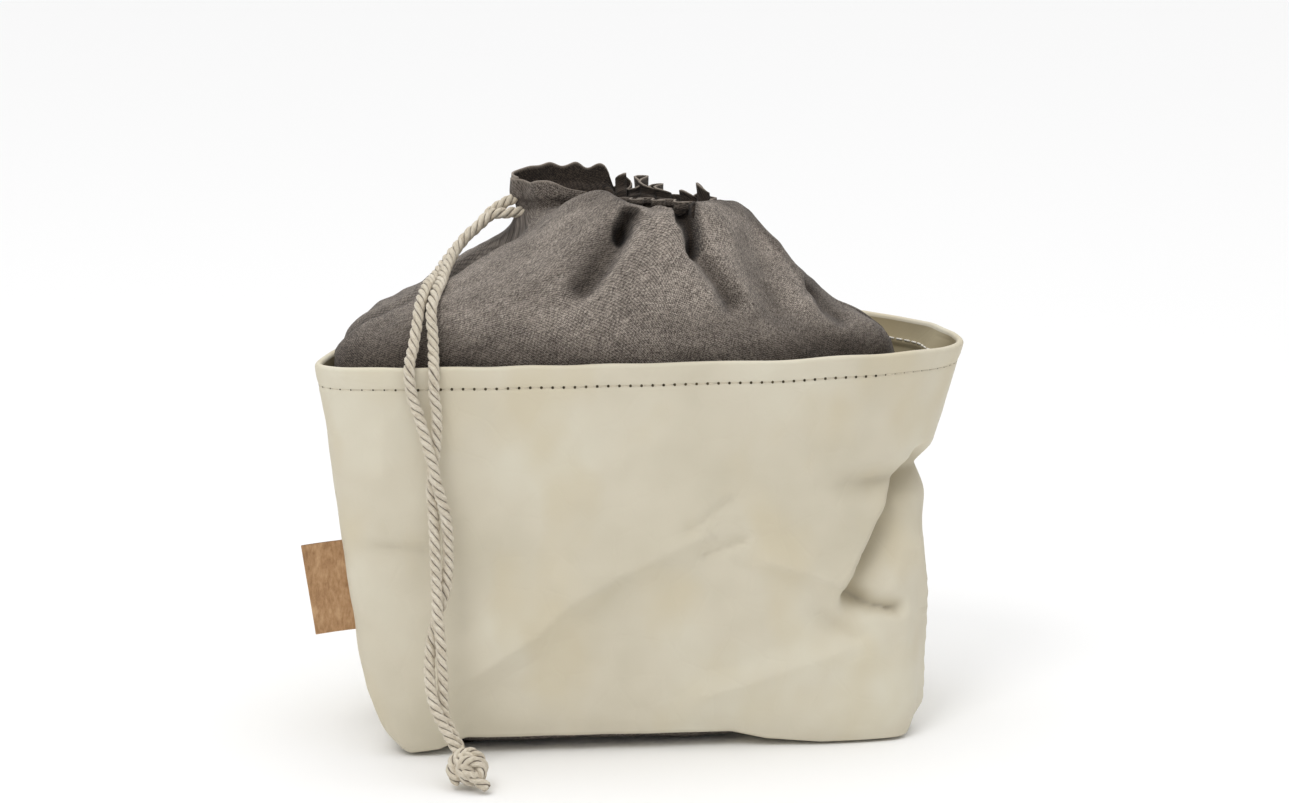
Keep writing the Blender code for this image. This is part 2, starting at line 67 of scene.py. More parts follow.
camera_data = bpy.data.cameras.new("camera")
camera_data.lens = CAMERA_LENS
camera_data.sensor_width = 36.0
camera = bpy.data.objects.new("camera", camera_data)
camera.location = CAMERA_PLACE
camera.rotation_euler = (CAMERA_TARGET - CAMERA_PLACE).to_track_quat("-Z", "Y").to_euler()
bpy.context.scene.collection.objects.link(camera)
bpy.context.scene.camera = camera
print("camera stands", round((CAMERA_TARGET - CAMERA_PLACE).length, 3), "m away")

# %% [markdown]
# A product picture has no hard shadows, because most of its light comes from large white
# surfaces. A world that grows brighter towards the zenith does the same, and one lamp on the
# left gives each fold a light and a dark side.

# %% Light
HORIZON_STRENGTH = 0.34
ZENITH_STRENGTH = 1.72


def studio_dome():
    """A world that is soft at the horizon and bright overhead, like a large ceiling softbox."""
    world = bpy.data.worlds.new("studio")
    world.use_nodes = True
    nodes, links = world.node_tree.nodes, world.node_tree.links
    direction = nodes.new("ShaderNodeTexCoord").outputs["Generated"]
    split = nodes.new("ShaderNodeSeparateXYZ")
    links.new(direction, split.inputs[0])
    steep = nodes.new("ShaderNodeMath")
    steep.operation = "POWER"
    steep.use_clamp = True
    links.new(split.outputs["Z"], steep.inputs[0])
    steep.inputs[1].default_value = 3.0
    strength = nodes.new("ShaderNodeMath")
    strength.operation = "MULTIPLY_ADD"
    links.new(steep.outputs[0], strength.inputs[0])
    strength.inputs[1].default_value = ZENITH_STRENGTH
    strength.inputs[2].default_value = HORIZON_STRENGTH
    nodes["Background"].inputs["Color"].default_value = (1.0, 1.0, 1.0, 1.0)
    links.new(strength.outputs[0], nodes["Background"].inputs["Strength"])
    return world


def soft_lamp(name, place, size, watts):
    """A square lamp that points at the bag."""
    data = bpy.data.lights.new(name, "AREA")
    data.shape = "SQUARE"
    data.size = size
    data.energy = watts
    lamp = bpy.data.objects.new(name, data)
    lamp.location = place
    lamp.rotation_euler = (Vector((0, 0, 0.1)) - Vector(place)).to_track_quat("-Z", "Y").to_euler()
    bpy.context.scene.collection.objects.link(lamp)
    return lamp


bpy.context.scene.world = studio_dome()
key_lamp = soft_lamp("key_lamp", (-0.9, -1.4, 2.0), 0.8, 13)
bpy.context.scene.view_settings.view_transform = "Standard"
print("lamps:", key_lamp.name)

# %% [markdown]
# ## Helpers that several pieces share
# A colour picked from a screen has to be made linear before a shader can use it. A table of
# sections or route points is read along a smooth curve. And every sheet or cord here is a
# flat grid from Blender's grid operator whose points are then moved to their place by a
# formula: that keeps even, four-sided faces, and the grid's own rows and columns give the
# cloth its thread directions.

# %% Colours and smooth tables
def linear(colour):
    """A 0 to 255 screen colour as the linear colour that a shader takes."""
    parts = [value / 255 for value in colour]
    return [v / 12.92 if v <= 0.04045 else ((v + 0.055) / 1.055) ** 2.4 for v in parts] + [1.0]


def smooth_read(table, at):
    """Read a table of evenly keyed rows at fractional row numbers, on a smooth curve."""
    table = np.asarray(table, float)
    at = np.clip(np.asarray(at, float), 0, len(table) - 1)
    low = np.minimum(at.astype(int), len(table) - 2)
    part = (at - low)[..., None]
    before = table[np.maximum(low - 1, 0)]
    start = table[low]
    end = table[low + 1]
    after = table[np.minimum(low + 2, len(table) - 1)]
    slope_start = (end - before) / 2
    slope_end = (after - start) / 2
    return ((2 * part**3 - 3 * part**2 + 1) * start + (part**3 - 2 * part**2 + part) * slope_start
            + (3 * part**2 - 2 * part**3) * end + (part**3 - part**2) * slope_end)


# %% [markdown]
# The grid operator hands back its points in rows, so one loop gives each point its place and
# its spot on the flat cloth. Joining doubled points afterwards sews the seams and poles shut.

# %% A grid that becomes a sheet or a cord
def add_grid(mesh, points, cloth):
    """Add a grid to a bmesh. points[row, column] are in mm, and cloth[row, column] holds where
    each point lies on the flat cloth, in mm, as the grid's UV map."""
    rows, columns = points.shape[0] - 1, points.shape[1] - 1
    made = bmesh.ops.create_grid(mesh, x_segments=columns, y_segments=rows, size=0.5)["verts"]
    places = points.reshape(-1, 3) * MM
    flat = cloth.reshape(-1, 2)
    uv_layer = mesh.loops.layers.uv.verify()
    for index, vert in enumerate(made):
        vert.co = places[index]
        for loop in vert.link_loops:
            loop[uv_layer].uv = flat[index]
    return made


def finish_piece(name, mesh, material):
    """Close the seams of a bmesh and make it a smooth piece that stands with the bag."""
    bmesh.ops.remove_doubles(mesh, verts=mesh.verts, dist=1e-7)
    data = bpy.data.meshes.new(name)
    mesh.to_mesh(data)
    mesh.free()
    data.shade_smooth()
    data.materials.append(material)
    piece = bpy.data.objects.new(name, data)
    bpy.context.scene.collection.objects.link(piece)
    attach(piece, "root")
    return piece


# %% [markdown]
# ## Materials are small graphs of nodes
# A helper makes a Principled material and hands out new nodes by name, so that each finish
# below reads as a short list of what feeds what.

# %% Material helper
class Finish:
    """A Principled material that is built node by node."""

    def __init__(self, name, roughness, coordinates):
        self.material = bpy.data.materials.new(name)
        self.material.use_nodes = True
        self.nodes = self.material.node_tree.nodes
        self.shader = self.nodes["Principled BSDF"]
        self.shader.inputs["Roughness"].default_value = roughness
        self.shader.inputs["Specular IOR Level"].default_value = 0.3
        self.at = self.nodes.new("ShaderNodeTexCoord").outputs[coordinates]

    def join(self, source, target):
        self.material.node_tree.links.new(source, target)

    def fill(self, node, values):
        """Set or link the inputs of a node by their names or numbers."""
        for key, value in values.items():
            socket = node.inputs[key]
            if isinstance(value, bpy.types.NodeSocket):
                self.join(value, socket)
            else:
                socket.default_value = value
        return node

    def scaled(self, scale):
        """The coordinates, stretched along each axis."""
        mapping = self.nodes.new("ShaderNodeMapping")
        return self.fill(mapping, {"Vector": self.at, "Scale": scale}).outputs[0]

    def noise(self, scale, detail=2.0, roughness=0.5, at=None):
        """Soft random patches, finer with a larger scale."""
        node = self.nodes.new("ShaderNodeTexNoise")
        self.fill(node, {"Vector": at or self.at, "Scale": scale, "Detail": detail,
                         "Roughness": roughness})
        return node.outputs["Fac"]

    def cells(self, scale):
        """The distance from the borders of random cells."""
        node = self.nodes.new("ShaderNodeTexVoronoi")
        node.feature = "DISTANCE_TO_EDGE"
        self.fill(node, {"Vector": self.at, "Scale": scale})
        return node.outputs["Distance"]

    def waves(self, scale, direction, distortion):
        """Even stripes across a direction, bent a little by the distortion."""
        node = self.nodes.new("ShaderNodeTexWave")
        node.bands_direction = direction
        self.fill(node, {"Vector": self.at, "Scale": scale, "Distortion": distortion, "Detail": 1.0})
        return node.outputs["Fac"]

    def attribute(self, name):
        """A value stored on the piece's own vertices."""
        node = self.nodes.new("ShaderNodeAttribute")
        node.attribute_name = name
        return node.outputs["Fac"]

    def math(self, how, first, second=0.0, third=0.0):
        node = self.nodes.new("ShaderNodeMath")
        node.operation = how
        return self.fill(node, {0: first, 1: second, 2: third}).outputs[0]

    def ramp(self, value, *stops):
        """Colours along a value: each stop is (position, screen colour)."""
        node = self.nodes.new("ShaderNodeValToRGB")
        elements = node.color_ramp.elements
        while len(elements) < len(stops):
            elements.new(0.5)
        for element, (position, colour) in zip(elements, stops):
            element.position = position
            element.color = linear(colour)
        self.join(value, node.inputs["Fac"])
        return node.outputs["Color"]

    def range(self, value, low, high, to_low=0.0, to_high=1.0):
        """A value stretched from one range to another."""
        node = self.nodes.new("ShaderNodeMapRange")
        return self.fill(node, {"Value": value, "From Min": low, "From Max": high,
                                "To Min": to_low, "To Max": to_high}).outputs[0]

    def blend(self, share, first, second, how="MIX"):
        node = self.nodes.new("ShaderNodeMix")
        node.data_type = "RGBA"
        node.blend_type = how
        return self.fill(node, {"Factor": share, "A": first, "B": second}).outputs["Result"]

    def colour(self, value):
        self.join(value, self.shader.inputs["Base Color"])

    def bump(self, height, distance, strength=1.0, below=None):
        """A relief in metres; below is a bump that lies under this one."""
        values = {"Height": height, "Distance": distance, "Strength": strength}
        if below is not None:
            values["Normal"] = below
        return self.fill(self.nodes.new("ShaderNodeBump"), values).outputs["Normal"]

    def relief(self, normal):
        self.join(normal, self.shader.inputs["Normal"])
        return self.material


# %% [markdown]
# ## The drawstring
# The cord is soft three-strand cotton, 5 mm thick. It leaves its casing on the left, both
# legs arch over the shoulder, fall over the rim and twine once, and meet again in one knot.
# A curve with a round bevel would look like a hose, so each leg is three real strands that
# wind round its route, and each strand is ribbed by the yarns that it is spun from.

# %% Route of the drawstring
# The middle of the pair, half the distance between the legs, and the way the left leg lies
# from the middle: 0 is left of it, 90 in front of it and 180 right of it.
CORD_LAY = 13.0
PairPoint = namedtuple("PairPoint", "x y z half_gap turn")
CORD_ROUTE = [
    PairPoint(-61.8, -3.0, 237.1, 2.85, -45),
    PairPoint(-68.1, -4.0, 235.1, 2.85, -85),
    PairPoint(-74.5, -6.0, 229.7, 2.85, -98),
    PairPoint(-80.8, -9.0, 224.5, 2.85, -98),
    PairPoint(-87.4, -15.5, 217.5, 2.85, -92),
    PairPoint(-92.8, -28.4, 211.4, 2.85, -75),
    PairPoint(-96.6, -41.8, 207.9, 2.85, -50),
    PairPoint(-99.4, -50.9, 203.0, 2.85, -35),
    PairPoint(-100.3, -54.6, 197.8, 2.9, -18),
    PairPoint(-100.7, -57.2, 190.9, 3.7, -6),
    PairPoint(-101.3, -59.5, 184.5, 4.4, 0),
    PairPoint(-102.0, -62.6, 180.3, 5.0, 0),
    PairPoint(-102.4, -66.2, 175.4, 5.3, 0),
    PairPoint(-101.9, -67.0, 166.4, 4.7, 2),
    PairPoint(-100.1, -67.6, 158.2, 3.9, 8),
    PairPoint(-98.8, -69.0, 147.1, 2.9, 36),
    PairPoint(-98.1, -70.0, 137.7, 2.85, 80),
    PairPoint(-97.4, -70.5, 125.6, 2.85, 120),
    PairPoint(-95.5, -71.0, 112.5, 2.85, 160),
    PairPoint(-94.9, -71.5, 95.8, 2.85, 190),
    PairPoint(-95.5, -73.0, 81.6, 2.85, 225),
    PairPoint(-97.0, -75.0, 72.5, 2.85, 262),
    PairPoint(-98.1, -77.5, 61.2, 2.85, 310),
    PairPoint(-98.4, -80.0, 49.4, 2.85, 345),
    PairPoint(-97.8, -83.5, 36.2, 2.85, 400),
    PairPoint(-95.9, -86.0, 28.4, 2.85, 430),
    PairPoint(-90.6, -90.4, 18.0, 2.85, 440),
]


def leg_route(side):
    """The centre line of one leg: +1 is the leg that starts on the left, -1 the other."""
    fine = smooth_read(CORD_ROUTE, np.linspace(0, len(CORD_ROUTE) - 1, 30 * len(CORD_ROUTE)))
    middle, half_gap, turn = fine[:, :3], fine[:, 3:4], np.radians(fine[:, 4:5])
    ahead = np.gradient(middle, axis=0)
    ahead /= np.linalg.norm(ahead, axis=1, keepdims=True)
    left = np.cross(ahead, [0, -1.0, 0])
    left = np.where(left[:, :1] > 0, -left, left)
    left /= np.linalg.norm(left, axis=1, keepdims=True)
    front = np.cross(left, ahead)
    front = np.where(front[:, 1:2] > 0, -front, front)
    return middle + side * half_gap * (left * np.cos(turn) + front * np.sin(turn))


def route_length(points):
    return float(np.linalg.norm(np.diff(points, axis=0), axis=1).sum())


def even_route(points, step):
    """The same route with points an even step apart."""
    length = np.concatenate([[0], np.cumsum(np.linalg.norm(np.diff(points, axis=0), axis=1))])
    wanted = np.linspace(0, length[-1], max(2, int(round(length[-1] / step)) + 1))
    return np.stack([np.interp(wanted, length, points[:, axis]) for axis in range(3)], axis=1)


for side in (1, -1):
    print("route of a leg outside its casing:", round(route_length(leg_route(side)), 1), "mm")

# %% [markdown]
# A strand is a tube whose centre circles the route once in each lay of the rope. Seen from
# the strand's own outer side, its colour is darkened by painted shade beyond a certain angle,
# where it turns in towards its two neighbours. Near a cut end the strand is rounded off.

# %% Strands
STRANDS = 3
YARNS = 5
STRAND_SIDES = 15
STRAND_STEP = 0.5
STRAND_RADIUS = 1.22
STRAND_OFFSET = 1.30
STRAND_WANDER = 0.04
YARN_RIDGE = 0.07
# The painted shade in the grooves: the angle round a strand where it starts, and the angles over which it
# grows to full.
GROOVE_STARTS = 70.0
GROOVE_BLEND = 30.0
END_ROUNDING = 1.4


def route_frames(route):
    """Directions along a route, and a steady pair of directions across it."""
    ahead = np.gradient(route, axis=0)
    ahead /= np.linalg.norm(ahead, axis=1, keepdims=True)
    across = [np.cross([0, -1.0, 0.2], ahead[0])]
    for direction in ahead[1:]:
        carried = across[-1] - direction * np.dot(across[-1], direction)
        across.append(carried / np.linalg.norm(carried))
    across[0] /= np.linalg.norm(across[0])
    across = np.array(across)
    return ahead, across, np.cross(ahead, across)


def add_twisted_cord(mesh, points):
    """Wind three ribbed strands round a route and add them to a bmesh. Returns the even route."""
    groove_shade = mesh.verts.layers.float.get("groove_shade")
    route = even_route(points, STRAND_STEP)
    ahead, across, outward = route_frames(route)
    along = np.arange(len(route)) * STRAND_STEP
    from_end = np.minimum(along, along[-1] - along)
    taper = np.sqrt(1 - (1 - np.clip(from_end / END_ROUNDING, 0, 1)) ** 2)
    around = np.linspace(0, math.tau, STRAND_SIDES + 1)
    turned_in = np.degrees(np.arccos(np.cos(around)))
    # painted shade where the strand turns in towards its neighbours
    sunk_shade = np.tile(np.clip((turned_in - GROOVE_STARTS) / GROOVE_BLEND, 0, 1), len(route))
    for strand in range(STRANDS):
        angle = math.tau * (strand / STRANDS - along / CORD_LAY)
        loose = 1 + STRAND_WANDER * np.sin(along / 9.0 + 2.1 * strand)
        spoke = across * np.cos(angle)[:, None] + outward * np.sin(angle)[:, None]
        centre = route + spoke * (STRAND_OFFSET * loose)[:, None]
        strand_ahead = np.gradient(centre, axis=0)
        strand_ahead /= np.linalg.norm(strand_ahead, axis=1, keepdims=True)
        beside = np.cross(strand_ahead, spoke)
        beside /= np.linalg.norm(beside, axis=1, keepdims=True)
        rib = np.cos(YARNS * (around[None] + 0.9 * math.tau * along[:, None] / CORD_LAY) + strand)
        radius = STRAND_RADIUS * (1 + YARN_RIDGE * rib) * taper[:, None]
        grid = (centre[:, None] + spoke[:, None] * (np.cos(around) * radius)[..., None]
                + beside[:, None] * (np.sin(around) * radius)[..., None])
        grid[:, -1] = grid[:, 0]
        girth = around[None] * STRAND_RADIUS + 10 * strand
        cloth = np.stack(np.broadcast_arrays(girth, along[:, None]), axis=2)
        for vert, value in zip(add_grid(mesh, grid, cloth), sunk_shade):
            vert[groove_shade] = value
    return route


# %% [markdown]
# Cotton has no gloss. What shows is its yarns: light fibres that run along each strand, and
# the painted brown shade in the grooves between the strands, which is stored on the vertices.

# %% Cotton finish
def cotton_finish():
    """Matt undyed yarn with painted brown shade in the grooves."""
    finish = Finish("cotton_cord", 0.92, "UV")
    along = finish.scaled((1.0, 0.16, 1.0))
    fibres = finish.noise(5.5, detail=4.0, roughness=0.7, at=along)
    patches = finish.noise(0.22, detail=2.0)
    mixed = finish.math("MULTIPLY_ADD", patches, 0.35, finish.math("MULTIPLY", fibres, 0.65))
    yarns = finish.ramp(mixed, (0.34, (176, 160, 136)), (0.46, (214, 202, 180)), (0.60, (238, 229, 212)))
    # painted brown shade in the grooves between the strands
    finish.colour(finish.blend(finish.attribute("groove_shade"), yarns, linear((84, 64, 44))))
    finish.shader.inputs["Sheen Weight"].default_value = 0.25
    finish.shader.inputs["Sheen Roughness"].default_value = 0.6
    return finish.relief(finish.bump(fibres, 0.0005, 0.9))


cotton = cotton_finish()

# %% [markdown]
# Each leg starts a little inside its casing and ends inside the knot, so that no cut end
# shows.

# %% The two legs
INTO_CASING = 8.0
KNOT_CENTRE = np.array([-86.4, -95.6, 9.2])


def make_leg(name, side):
    """One leg of the cord, from inside its casing to the knot."""
    points = leg_route(side)
    back = points[0] - points[8]
    hidden = points[0] + back / np.linalg.norm(back) * INTO_CASING
    within = KNOT_CENTRE + (points[-1] - KNOT_CENTRE) * 0.45
    route = np.concatenate([[hidden], points, [within]])
    mesh = bmesh.new()
    mesh.verts.layers.float.new("groove_shade")
    centres = add_twisted_cord(mesh, route)
    node = "cord_" + name.split("_")[1]
    piece = finish_piece(name, mesh, cotton)
    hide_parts(node)
    print(name, "is", round(route_length(centres), 1), "mm long,", len(piece.data.polygons), "faces")


make_leg("leg_left", 1)
make_leg("leg_right", -1)

# %% [markdown]
# ## The knot
# One overhand knot holds both legs. On the real cord it is a ball of tight turns with two
# cut ends, one that faces the viewer and one that points down and out. Here the same
# twisted cord is wound round a hidden core in a few rings, and two short stubs end in a
# cut face each.

# %% Knot
VIEWER = np.array([0.10, -0.93, 0.22])
CORE_RADIUS = 6.6

# Each turn of the knot: how far it is tilted about the up axis and leans about the right axis,
# its radius in mm, the angles at which it starts and ends, and how far it lies in front.
KnotRing = namedtuple("KnotRing", "tilt lean radius first last depth")
KNOT_RINGS = [
    KnotRing(0, 0, 6.7, -55, 240, 1.2),
    KnotRing(66, 14, 5.8, 20, 330, 0.0),
    KnotRing(-58, -18, 5.8, -10, 300, 0.0),
    KnotRing(12, 74, 5.2, 0, 350, -0.8),
]

# The two cut ends, as points in mm to the right, up and towards the viewer.
STUBS = {
    "whorl": [(-4.6, 1.0, 4.0), (-1.6, 3.2, 5.6), (2.4, 3.0, 6.2), (5.2, 0.2, 6.2), (4.2, -3.0, 6.4),
              (1.4, -3.2, 7.0), (1.0, -0.6, 7.4)],
    "tail": [(-2.4, 2.0, 4.8), (0.2, -2.0, 6.6), (3.8, -5.4, 7.4), (7.6, -8.8, 7.8)],
}


def viewer_axes():
    """Right, up and towards the viewer, at the knot."""
    near = VIEWER / np.linalg.norm(VIEWER)
    right = np.cross([0, 0, 1.0], near)
    right /= np.linalg.norm(right)
    return right, np.cross(near, right), near


def ring_route(ring):
    """Part of a circle round the knot's core, tilted about the up and the right axis."""
    right, up, near = viewer_axes()
    tilt, lean = math.radians(ring.tilt), math.radians(ring.lean)
    first = right * math.cos(tilt) + near * math.sin(tilt)
    ahead = near * math.cos(tilt) - right * math.sin(tilt)
    second = up * math.cos(lean) + ahead * math.sin(lean)
    angles = np.radians(np.linspace(ring.first, ring.last, 60))[:, None]
    circle = first * np.cos(angles) + second * np.sin(angles)
    return KNOT_CENTRE + circle * ring.radius + near * ring.depth


def make_knot():
    """The rings, the two cut ends and the core that they hide."""
    right, up, near = viewer_axes()
    mesh = bmesh.new()
    mesh.verts.layers.float.new("groove_shade")
    for ring in KNOT_RINGS:
        add_twisted_cord(mesh, ring_route(ring))
    for stub in STUBS.values():
        keys = [KNOT_CENTRE + right * x + up * y + near * z for x, y, z in stub]
        add_twisted_cord(mesh, smooth_read(keys, np.linspace(0, len(keys) - 1, 40)))
    core = bmesh.ops.create_icosphere(mesh, subdivisions=3, radius=CORE_RADIUS * MM)["verts"]
    bmesh.ops.translate(mesh, verts=core, vec=Vector(KNOT_CENTRE * MM))
    piece = finish_piece("knot", mesh, cotton)
    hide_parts("cord_knot")
    return piece


knot = make_knot()
print("knot:", len(knot.data.polygons), "faces")

# %% [markdown]
# ## The paper basket
# Washable paper is sewn like cloth, but it creases like thick paper: broad soft facets with
# crisp short folds between them. The basket is one sheet, so it is one grid here: from the
# middle of its underside, out and round the foot, up the wall, over the folded-in hem and
# down the inside to its floor. A level outline is worked out at each height from the reach
# of its four sides, and creases are then pressed into the wall along short paths.

# %% Sections of the basket
RIM_HEIGHT = 177.0
PAPER_THICKNESS = 1.5
HEM_THICKNESS = 3.2
HEM_DEPTH = 9.5
HEM_PADDING = 0.24
STITCH_PULL = 0.26
PAPER_AROUND = 360

# A level outline: its height and the reach of its four sides, the middle that they are measured
# from, how square its left and right corners are, how far the cloth is gathered towards the
# neck, and how far the left side leans inwards at the back.
Section = namedtuple("Section", "z_left z_front z_right z_back left front right back "
                                "middle_x middle_y square_left square_right gather skew")


def level_section(height, *reaches):
    """A section whose four sides stand at one height."""
    return Section(height, height, height, height, *reaches)


PAPER_SECTIONS = [
    level_section(3, -115.5, -50, 118, 78, -40, 8, 12, 12, 0, 16),
    level_section(14, -123.5, -53, 121, 80, -40, 6, 11, 9, 0, 18),
    level_section(36, -131.8, -55, 123, 80, -40, 4, 9, 6, 0, 21),
    level_section(62, -136.5, -57, 124.5, 79, -40, 2, 8, 4, 0, 25),
    level_section(92, -141.8, -59, 126, 78, -40, 0, 7, 3, 0, 30),
    level_section(120, -146.4, -61, 129, 78, -40, -2, 6.5, 2.5, 0, 35),
    level_section(148, -150.6, -62, 136, 80, -40, -4, 6, 2.4, 0, 41),
    Section(RIM_HEIGHT, RIM_HEIGHT, RIM_HEIGHT - 0.5, RIM_HEIGHT + 7,
            -155, -62.5, 143, 86, -40, -5, 6, 2.6, 0, 46),
]

# The shares of the girth in eight spans, from the left round by the front; the height of the
# foot off the floor at each x along the front; and its height along the other sides.
PAPER_SPANS = [5, 10, 14, 9, 6, 12, 11, 5]
FOOT_LIFT = [(-112, 1.5), (-96, 4), (-84, 10), (34, 9), (50, 4.5), (74, 1.8), (120, 1.8)]
SIDE_LIFT = 3.5


def row_at(sections, height):
    """The fractional row of a table whose left side stands at a height."""
    rows = np.linspace(0, len(sections) - 1, 50 * len(sections))
    return np.interp(height, smooth_read(sections, rows)[:, 0], rows)


def span_positions(spans, count):
    """Where each of count even steps of cloth lies on the eight spans of an outline."""
    reached = np.concatenate([[0], np.cumsum(spans)]) / sum(spans)
    return np.interp(np.arange(count) / count, reached, np.arange(9))


def outline(section, places):
    """Points of one outline at the given places, 0 to 8, from the left round the front."""
    fine = np.linspace(0, 1, 60)
    points = np.zeros((len(places), 3))
    for span in range(8):
        angles = math.pi * (1 + (span + fine) / 4)
        across = np.cos(angles)
        along = np.sin(angles)
        power = 2 / np.where(across < 0, section.square_left, section.square_right)
        reach_y = np.where(along < 0, section.middle_y - section.front, section.back - section.middle_y)
        y = section.middle_y + reach_y * np.sign(along) * np.abs(along) ** power
        depth = (y - section.front) / (section.back - section.front)
        reach_left = section.middle_x - section.left - section.skew * depth
        reach_x = np.where(across < 0, reach_left, section.right - section.middle_x)
        x = section.middle_x + reach_x * np.sign(across) * np.abs(across) ** power
        side_z = np.where(across < 0, section.z_left, section.z_right)
        end_z = np.where(along < 0, section.z_front, section.z_back)
        z = side_z + (end_z - side_z) * along**4
        length = np.concatenate([[0], np.cumsum(np.hypot(np.diff(x), np.diff(y)))])
        here = (places >= span) & (places < span + 1)
        wanted = (places[here] - span) * length[-1]
        points[here] = np.stack([np.interp(wanted, length, values) for values in (x, y, z)], axis=1)
    return points


def surface(sections, rows, body_places, neck_places):
    """A grid of points: one outline for each fractional row of a table of sections."""
    grid = []
    for values in smooth_read(sections, rows):
        section = Section(*values)
        gather = min(max(section.gather, 0), 1)
        grid.append(outline(section, body_places * (1 - gather) + neck_places * gather))
    return np.array(grid)


def grid_normals(grid):
    """The outward direction at each point of a grid that closes on itself sideways."""
    around = np.roll(grid, -1, axis=1) - np.roll(grid, 1, axis=1)
    normals = np.cross(around, np.gradient(grid, axis=0))
    return normals / np.linalg.norm(normals, axis=2, keepdims=True)


def level_normals(grid):
    """The outward direction at each point, kept level."""
    around = np.roll(grid, -1, axis=1) - np.roll(grid, 1, axis=1)
    level = np.stack([around[..., 1], -around[..., 0], np.zeros(grid.shape[:2])], axis=2)
    return level / np.linalg.norm(level, axis=2, keepdims=True)


# %% [markdown]
# A crease runs along a path on one face, seen square on: (x, z) on the front and the back,
# (y, z) on the sides. It rises or sinks by a height in mm, and fades over one width on its
# upper or left side and another on its lower or right side. Crisp creases meet in a sharp
# line, soft ones in a round hump.

# %% Creases of the basket
Crease = namedtuple("Crease", "path height above below crisp")
PAPER_CREASES = {
    "front": [
        Crease([(16, 98), (-18, 82), (-38, 71), (-54, 56), (-88, 34)], 4.2, 36, 14, 0.9),
        Crease([(14, 103), (32, 115)], -1.7, 5, 8, 1.0),
        Crease([(24, 99), (17, 108)], 1.2, 3, 4, 1.0),
        Crease([(21, 91), (38, 96)], -1.8, 6, 4, 1.0),
        Crease([(32, 92), (38, 86)], 1.0, 4, 3, 1.0),
        Crease([(-123, 98), (-103, 96)], -2.4, 5, 15, 0.9),
        Crease([(-119, 150), (-120, 130)], 1.2, 8, 10, 0.6),
        Crease([(48, 86), (66, 80), (86, 71)], 3.6, 20, 8, 0.9),
        Crease([(74, 60), (90, 49)], -3.0, 12, 13, 0.6),
        Crease([(20, 25), (56, 36), (94, 47)], 2.2, 13, 16, 0.8),
        Crease([(86, 69), (98, 62), (110, 59)], -6.5, 9, 5, 0.9),
        Crease([(87, 71), (100, 94), (111, 113), (118, 124)], -10.5, 3.8, 20, 0.7),
    ],
    "right": [
        Crease([(-44, 118), (-14, 119), (4, 120)], -5.4, 10, 14, 0.6),
        Crease([(-26, 12), (-22, 55), (-30, 84)], 4.0, 14, 8, 0.9),
        Crease([(20, 8), (14, 60), (20, 120), (16, 165)], -5.0, 20, 18, 0.5),
    ],
    "left": [
        Crease([(6, 8), (4, 60), (10, 110)], -3.5, 22, 20, 0.5),
        Crease([(12, 120), (34, 150)], 2.5, 14, 10, 0.6),
    ],
    "back": [
        Crease([(-96, 40), (-50, 66), (-8, 92), (20, 120)], 4.0, 30, 20, 0.6),
        Crease([(24, 84), (58, 62), (96, 52)], -4.0, 16, 24, 0.5),
        Crease([(70, 150), (60, 118)], 2.5, 16, 14, 0.5),
        Crease([(-104, 132), (-80, 112)], -2.6, 10, 14, 0.7),
    ],
}


print("creases pressed into the basket:", sum(len(pressed) for pressed in PAPER_CREASES.values()))


def path_offset(path, across, up):
    """Distance from a path, and whether a point lies above or left of it (+1) or not (-1)."""
    nearest = np.full(across.shape, np.inf)
    side = np.zeros(across.shape)
    for (x0, z0), (x1, z1) in zip(path, path[1:]):
        run = np.array([x1 - x0, z1 - z0], float)
        if run[0] < 0 or (run[0] == 0 and run[1] < 0):
            x0, z0, run = x1, z1, -run
        size = np.hypot(*run)
        along = np.clip(((across - x0) * run[0] + (up - z0) * run[1]) / size**2, 0, 1)
        off_x = across - x0 - along * run[0]
        off_z = up - z0 - along * run[1]
        distance = np.hypot(off_x, off_z)
        turned = (run[0] * off_z - run[1] * off_x) / size
        closer = distance < nearest
        nearest = np.where(closer, distance, nearest)
        side = np.where(closer, turned / np.maximum(distance, 1e-6), side)
    return nearest, side


def crease_height(creases, grid, normals):
    """How far the creases raise or sink each point of a surface."""
    height = np.zeros(grid.shape[:2])
    facing = {"front": -normals[..., 1], "back": normals[..., 1],
              "left": -normals[..., 0], "right": normals[..., 0]}
    for face, pressed in creases.items():
        across = grid[..., 0] if face in ("front", "back") else grid[..., 1]
        turned_to = np.clip((facing[face] + 0.1) / 0.5, 0, 1)
        for crease in pressed:
            distance, side = path_offset(crease.path, across, grid[..., 2])
            width = crease.below + (crease.above - crease.below) * (0.5 + 0.5 * side)
            reach = np.clip(distance / width, 0, 1)
            sharp = (1 - reach) ** 2
            soft = (1 - reach**2) ** 2
            height += crease.height * turned_to * (sharp * crease.crisp + soft * (1 - crease.crisp))
    return height


# %% [markdown]
# Between the named creases, worn paper is never flat. Scattered points each own the patch
# of paper nearest to them, and the paper stands a little lower along the borders between
# two patches: that gives flat facets with thin lines, as crumpled paper has.

# %% Crumples
def facets(grid, count, seed):
    """0 on the borders between scattered patches, rising to about 1 in their middles."""
    low = grid.reshape(-1, 3).min(axis=0)
    high = grid.reshape(-1, 3).max(axis=0)
    scattered = np.random.default_rng(seed).uniform(low, high, (count * 3, 3))
    points = grid.reshape(-1, 3)
    on_wall = grid[::12, ::12].reshape(-1, 3)
    gap = np.array([np.linalg.norm(on_wall - spot, axis=1).min() for spot in scattered])
    spots = scattered[np.argsort(gap)[:count]]
    distance = np.sort(np.linalg.norm(points[:, None] - spots[None], axis=2), axis=1)[:, :2]
    size = np.sqrt(np.ptp(points[:, 0]) * np.ptp(points[:, 2]) / count)
    return np.clip((distance[:, 1] - distance[:, 0]) / size, 0, 1).reshape(grid.shape[:2])


